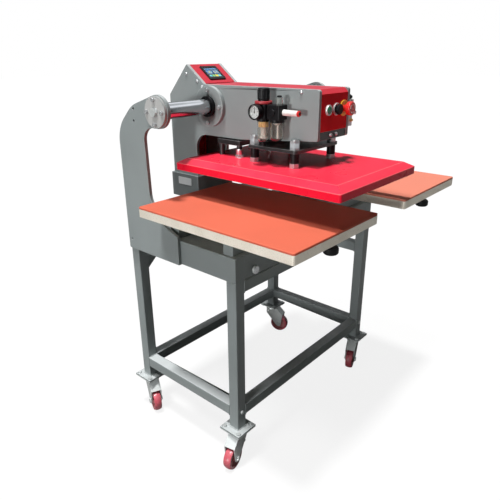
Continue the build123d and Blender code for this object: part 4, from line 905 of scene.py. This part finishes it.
# Plated sleeves and nuts round the two front posts of the guide bar, which rides on the platen
guidePosts = {"places": [(-195, 55.5), (-35, 55.5)], "foot": 1033, "bore": 9.1, "turn": 19,
              "nut": [(24, 1034.4), (25, 1035.2), (25, 1040.2), (24, 1041)],
              "sleeve": [(9.1, 1041.2), (10.9, 1041.2), (11.3, 1041.8), (11.3, 1059), (10.5, 1060),
                         (9.1, 1060)]}


def postSleeves():
    sleeves = Sculpt()
    flats = [hexagon(width, height) for width, height in guidePosts["nut"]]
    bore = [circle(guidePosts["bore"], guidePosts["nut"][end][1]) for end in (0, -1)]
    rings = [bore[0], *flats, bore[1]]
    for index, (x, y) in enumerate(guidePosts["places"]):
        sleeves.lathe(guidePosts["sleeve"], aimed(x, y, 0), 40, hollow=True)
        sleeves.loft(rings, aimed(x, y, 0, turn=guidePosts["turn"] * index), hollow=True)
        washer(sleeves, aimed(x, y, guidePosts["foot"]), "post")
    sleeves.piece("post_sleeves", "platen", "zincSteel")


# Valve coil, its port fittings and its connector on the right side plate
valve = {"coilPlace": (-29.3, -221.5, 1202.2), "coil": (30.8, 32.8, 40.4), "stubPlace": (-0.5, -235.5, 1180),
         "stub": [(3.6, 0), (4.4, 0.8), (4.4, 9), (6.4, 10), (6.4, 15), (5.4, 16)],
         "portPlaces": [(-0.5, -235.3, 1174), (-0.5, -235.3, 1156)],
         "port": [(9, 0), (10, 0.6), (10, 4), (9, 4.6)], "nozzle": [(3.6, 4.6), (3.6, 8)],
         "headPlace": (-5.5, -221.5, 1218.4), "head": (24, 17, 13), "glandPlace": (-5.5, -229.9, 1225),
         "gland": [(4.6, 0), (5.2, 1), (5.2, 7), (4.2, 8.4)], "sidePlace": (20, -221.5, 1152),
         "sideNut": [(10, 0), (11, 0.6), (11, 3), (10, 3.6)]}


def valveTrim():
    coil = Sculpt()
    coil.slab(*valve["coil"], aimed(*valve["coilPlace"], right), 3.4, 0.8)
    coil.lathe(valve["stub"], aimed(*valve["stubPlace"], front), 24)
    coil.piece("valve_coil", "head", "whitePlastic")
    brass = Sculpt()
    rings = [hexagon(flats, height) for flats, height in valve["port"]]
    rings += [circle(radius, height) for radius, height in valve["nozzle"]]
    for place in valve["portPlaces"]:
        brass.loft(rings, aimed(*place, front))
    brass.piece("valve_fittings", "head", "brassFitting")
    connector = Sculpt()
    connector.slab(*valve["head"], aimed(*valve["headPlace"]), 2.5, 0.8)
    connector.lathe(valve["gland"], aimed(*valve["glandPlace"], front), 20)
    connector.nut(valve["sideNut"], aimed(*valve["sidePlace"], right))
    connector.piece("valve_plug", "head", "blackPlastic")


postSleeves()
valveTrim()
print("posts and valve done")

# Casters: wheel hubs with ribs, and the pressed bell over each race
casterParts = {"trail": 38, "axleZ": 44, "ribs": 6, "rib": (16.7, 2.4, 4.4), "ribPlace": (23.05, 0, 7),
               "hub": [(13.2, 5.05), (13.2, 14.6), (15.2, 15.6), (16.4, 14.6), (17.4, 8.05), (29.7, 7.65),
                       (31.3, 12.8), (32.7, 13.8), (32.9, 5.05)],
               "bell": [(26.3, 132.6), (27.6, 132.4), (30.2, 130.6), (31.6, 126.2), (30.4, 125.4),
                        (28.6, 129.2), (26.3, 130.6)]}


def casterTrim():
    for corner, (x, y, heading) in casters.items():
        angle = math.radians(heading)
        along = Vector((math.cos(angle), math.sin(angle), 0))
        axle = Vector((-math.sin(angle), math.cos(angle), 0))
        centre = Vector((x, y, 0)) + along * casterParts["trail"]
        hub = Sculpt()
        for side in (-1, 1):
            place = aimed(centre.x, centre.y, casterParts["axleZ"], axle * side)
            hub.lathe(casterParts["hub"], place, 48, hollow=True)
            for step in range(casterParts["ribs"]):
                spin = Matrix.Rotation(2 * math.pi * step / casterParts["ribs"], 4, "Z")
                hub.slab(*casterParts["rib"], place @ spin @ shift(*casterParts["ribPlace"]), 0.8, 0.5)
        hub.piece("wheel_hub_" + corner, "caster_wheel_" + corner, "wheelHub")
        bell = "caster_bell_" + corner
        turned(bell, "caster_fork_" + corner, "casterZinc", casterParts["bell"], aimed(x, y, 0), 40, True)


casterTrim()
print("casters done")

# Silicone pads: a foam layer and a sheet on top of it, with a groove between them
pads = {"x": 302, "y": -103.5, "width": 420, "depth": 600, "corner": 6, "innerCorner": 2,
        "levels": [(0.5, 902.02), (0.1, 902.4), (0.0, 904.2), (1.1, 904.5), (1.2, 905.1), (0.2, 905.4),
                   (0.1, 907.4), (0.5, 908.3), (1.6, 908.8), (3.2, 908.95)],
        "insets": [20, 45, 75, 110, 150, 185, 205], "top": 908.93, "wave": 0.05, "waveX": 31, "waveY": 47}


def padRing(inset, corner, level):
    return roundedRing(pads["width"] - 2 * inset, pads["depth"] - 2 * inset, corner, level, 6)


def padWave(x, y, side):
    return pads["wave"] * math.sin(x / pads["waveX"] + side) * math.cos(y / pads["waveY"])


def siliconePads():
    shape = Sculpt()
    for side in (-1, 1):
        rings = [padRing(inset, pads["corner"] - inset, level) for inset, level in pads["levels"]]
        for inset in pads["insets"]:
            ring = padRing(inset, pads["innerCorner"], pads["top"])
            rings.append([(x, y, z + padWave(x, y, side)) for x, y, z in ring])
        shape.loft(rings, aimed(side * pads["x"], pads["y"], 0))
    made = shape.piece("silicone_pads", "frame", "siliconePad", 50)
    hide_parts("table_pads")


siliconePads()
print("pads done")

# Room, lamps and camera
room = {"paleFloor": tone(0.85, 0.85, 0.84), "bounceFloor": tone(0.13, 0.13, 0.127),
        "mirrorFloor": tone(0.32, 0.32, 0.315), "floorSize": 60.0, "matt": 0.9, "whiteShare": 0.86,
        "white": tone(1, 1, 1), "skyLight": 0.03, "skyShine": 1.4, "skyTint": (0.94, 0.97, 1.0),
        "skyBands": [(0.0, 0.12), (0.16, 0.07), (0.34, 0.14), (0.50, 0.34), (0.60, 1.0), (0.69, 1.0),
                     (0.78, 0.30), (1.0, 0.30)]}


def buildRoom():
    bpy.ops.mesh.primitive_plane_add(size=room["floorSize"], location=(0, 0, 0))
    floor = bpy.context.object
    floor.name = "studioFloor"
    material = bpy.data.materials.new("studioFloor")
    material.use_nodes = True
    graph = Graph(material.node_tree)
    seen = graph.ray("Camera")
    colour = graph.mix(graph.ray("Glossy"), room["bounceFloor"], room["mirrorFloor"])
    colour = graph.mix(seen, colour, room["paleFloor"])
    sockets = {"Base Color": colour, "Roughness": room["matt"], "Specular IOR Level": 0.0}
    matt = graph.node("ShaderNodeBsdfPrincipled", sockets=sockets)
    glow = graph.node("ShaderNodeEmission", sockets={"Color": room["white"], "Strength": 1.0})
    shown = graph.node("ShaderNodeMixShader", sockets={0: seen * room["whiteShare"], 1: matt, 2: glow})
    graph.node("ShaderNodeOutputMaterial", sockets={0: shown})
    floor.data.materials.append(material)
    world = bpy.data.worlds.new("studioSky")
    scene.world = world
    world.use_nodes = True
    graph = Graph(world.node_tree)
    sky = graph.node("ShaderNodeBackground", sockets={"Color": room["white"], "Strength": room["skyLight"]})
    way = graph.node("ShaderNodeTexCoord", output="Generated")
    rise = graph.node("ShaderNodeSeparateXYZ", sockets={0: way}, output="Z")
    stops = [(level, tone(*[light * tint for tint in room["skyTint"]])) for level, light in room["skyBands"]]
    shine = graph.node("ShaderNodeValToRGB", {"stops": stops}, {"Fac": rise})
    mirror = graph.node("ShaderNodeBackground", sockets={"Color": shine, "Strength": room["skyShine"]})
    white = graph.node("ShaderNodeBackground", sockets={"Color": room["white"], "Strength": 1.0})
    lit = graph.node("ShaderNodeMixShader", sockets={0: graph.ray("Glossy"), 1: sky, 2: mirror})
    clear = graph.ray("Camera") + graph.ray("Transmission")
    seen = graph.node("ShaderNodeMixShader", sockets={0: clear, 1: lit, 2: white})
    graph.node("ShaderNodeOutputWorld", sockets={0: seen})


lamps = {
    "overheadSun": {"way": (0.17, 0.04, -1.0), "angle": 6, "power": 3.4, "mirrored": True},
    "windowSun": {"way": (1.0, 0.02, 0.0), "angle": 9, "power": 2.35, "mirrored": True},
    "gateSun": {"way": (1.0, 0.02, -2.0), "angle": 12, "power": 1.2, "mirrored": True},
    "rearSun": {"way": (-0.72, -0.69, 0.03), "angle": 10, "power": 2.6, "mirrored": False},
}


def buildLamps():
    for name, lamp in lamps.items():
        light = bpy.data.lights.new(name, "SUN")
        light.energy = lamp["power"]
        light.angle = math.radians(lamp["angle"])
        sun = bpy.data.objects.new(name, light)
        sun.visible_glossy = lamp["mirrored"]
        scene.collection.objects.link(sun)
        sun.rotation_euler = Vector(lamp["way"]).to_track_quat("-Z", "Y").to_euler()


shot = {"place": (-1.3961, -1.0359, 1.3516), "yaw": 48.887, "pitch": 21.764, "roll": -0.327,
        "focalPixels": 493.93, "framePixels": 500, "sensor": 36.0}


def buildCamera():
    yaw, pitch, roll = [math.radians(shot[key]) for key in ("yaw", "pitch", "roll")]
    ahead = Vector((math.sin(yaw) * math.cos(pitch), math.cos(yaw) * math.cos(pitch), -math.sin(pitch)))
    side = Vector((math.cos(yaw), -math.sin(yaw), 0))
    above = side.cross(ahead)
    across = side * math.cos(roll) + above * math.sin(roll)
    upward = above * math.cos(roll) - side * math.sin(roll)
    data = bpy.data.cameras.new("photoCamera")
    data.sensor_width = shot["sensor"]
    data.lens = shot["focalPixels"] / shot["framePixels"] * shot["sensor"]
    data.dof.use_dof = False
    camera = bpy.data.objects.new("photoCamera", data)
    scene.collection.objects.link(camera)
    turn = Matrix((across, upward, -ahead)).transposed().to_4x4()
    camera.matrix_world = Matrix.Translation(shot["place"]) @ turn
    scene.camera = camera


buildRoom()
buildLamps()
buildCamera()
scene.view_settings.view_transform = "Standard"
print("room, lamps and camera done")
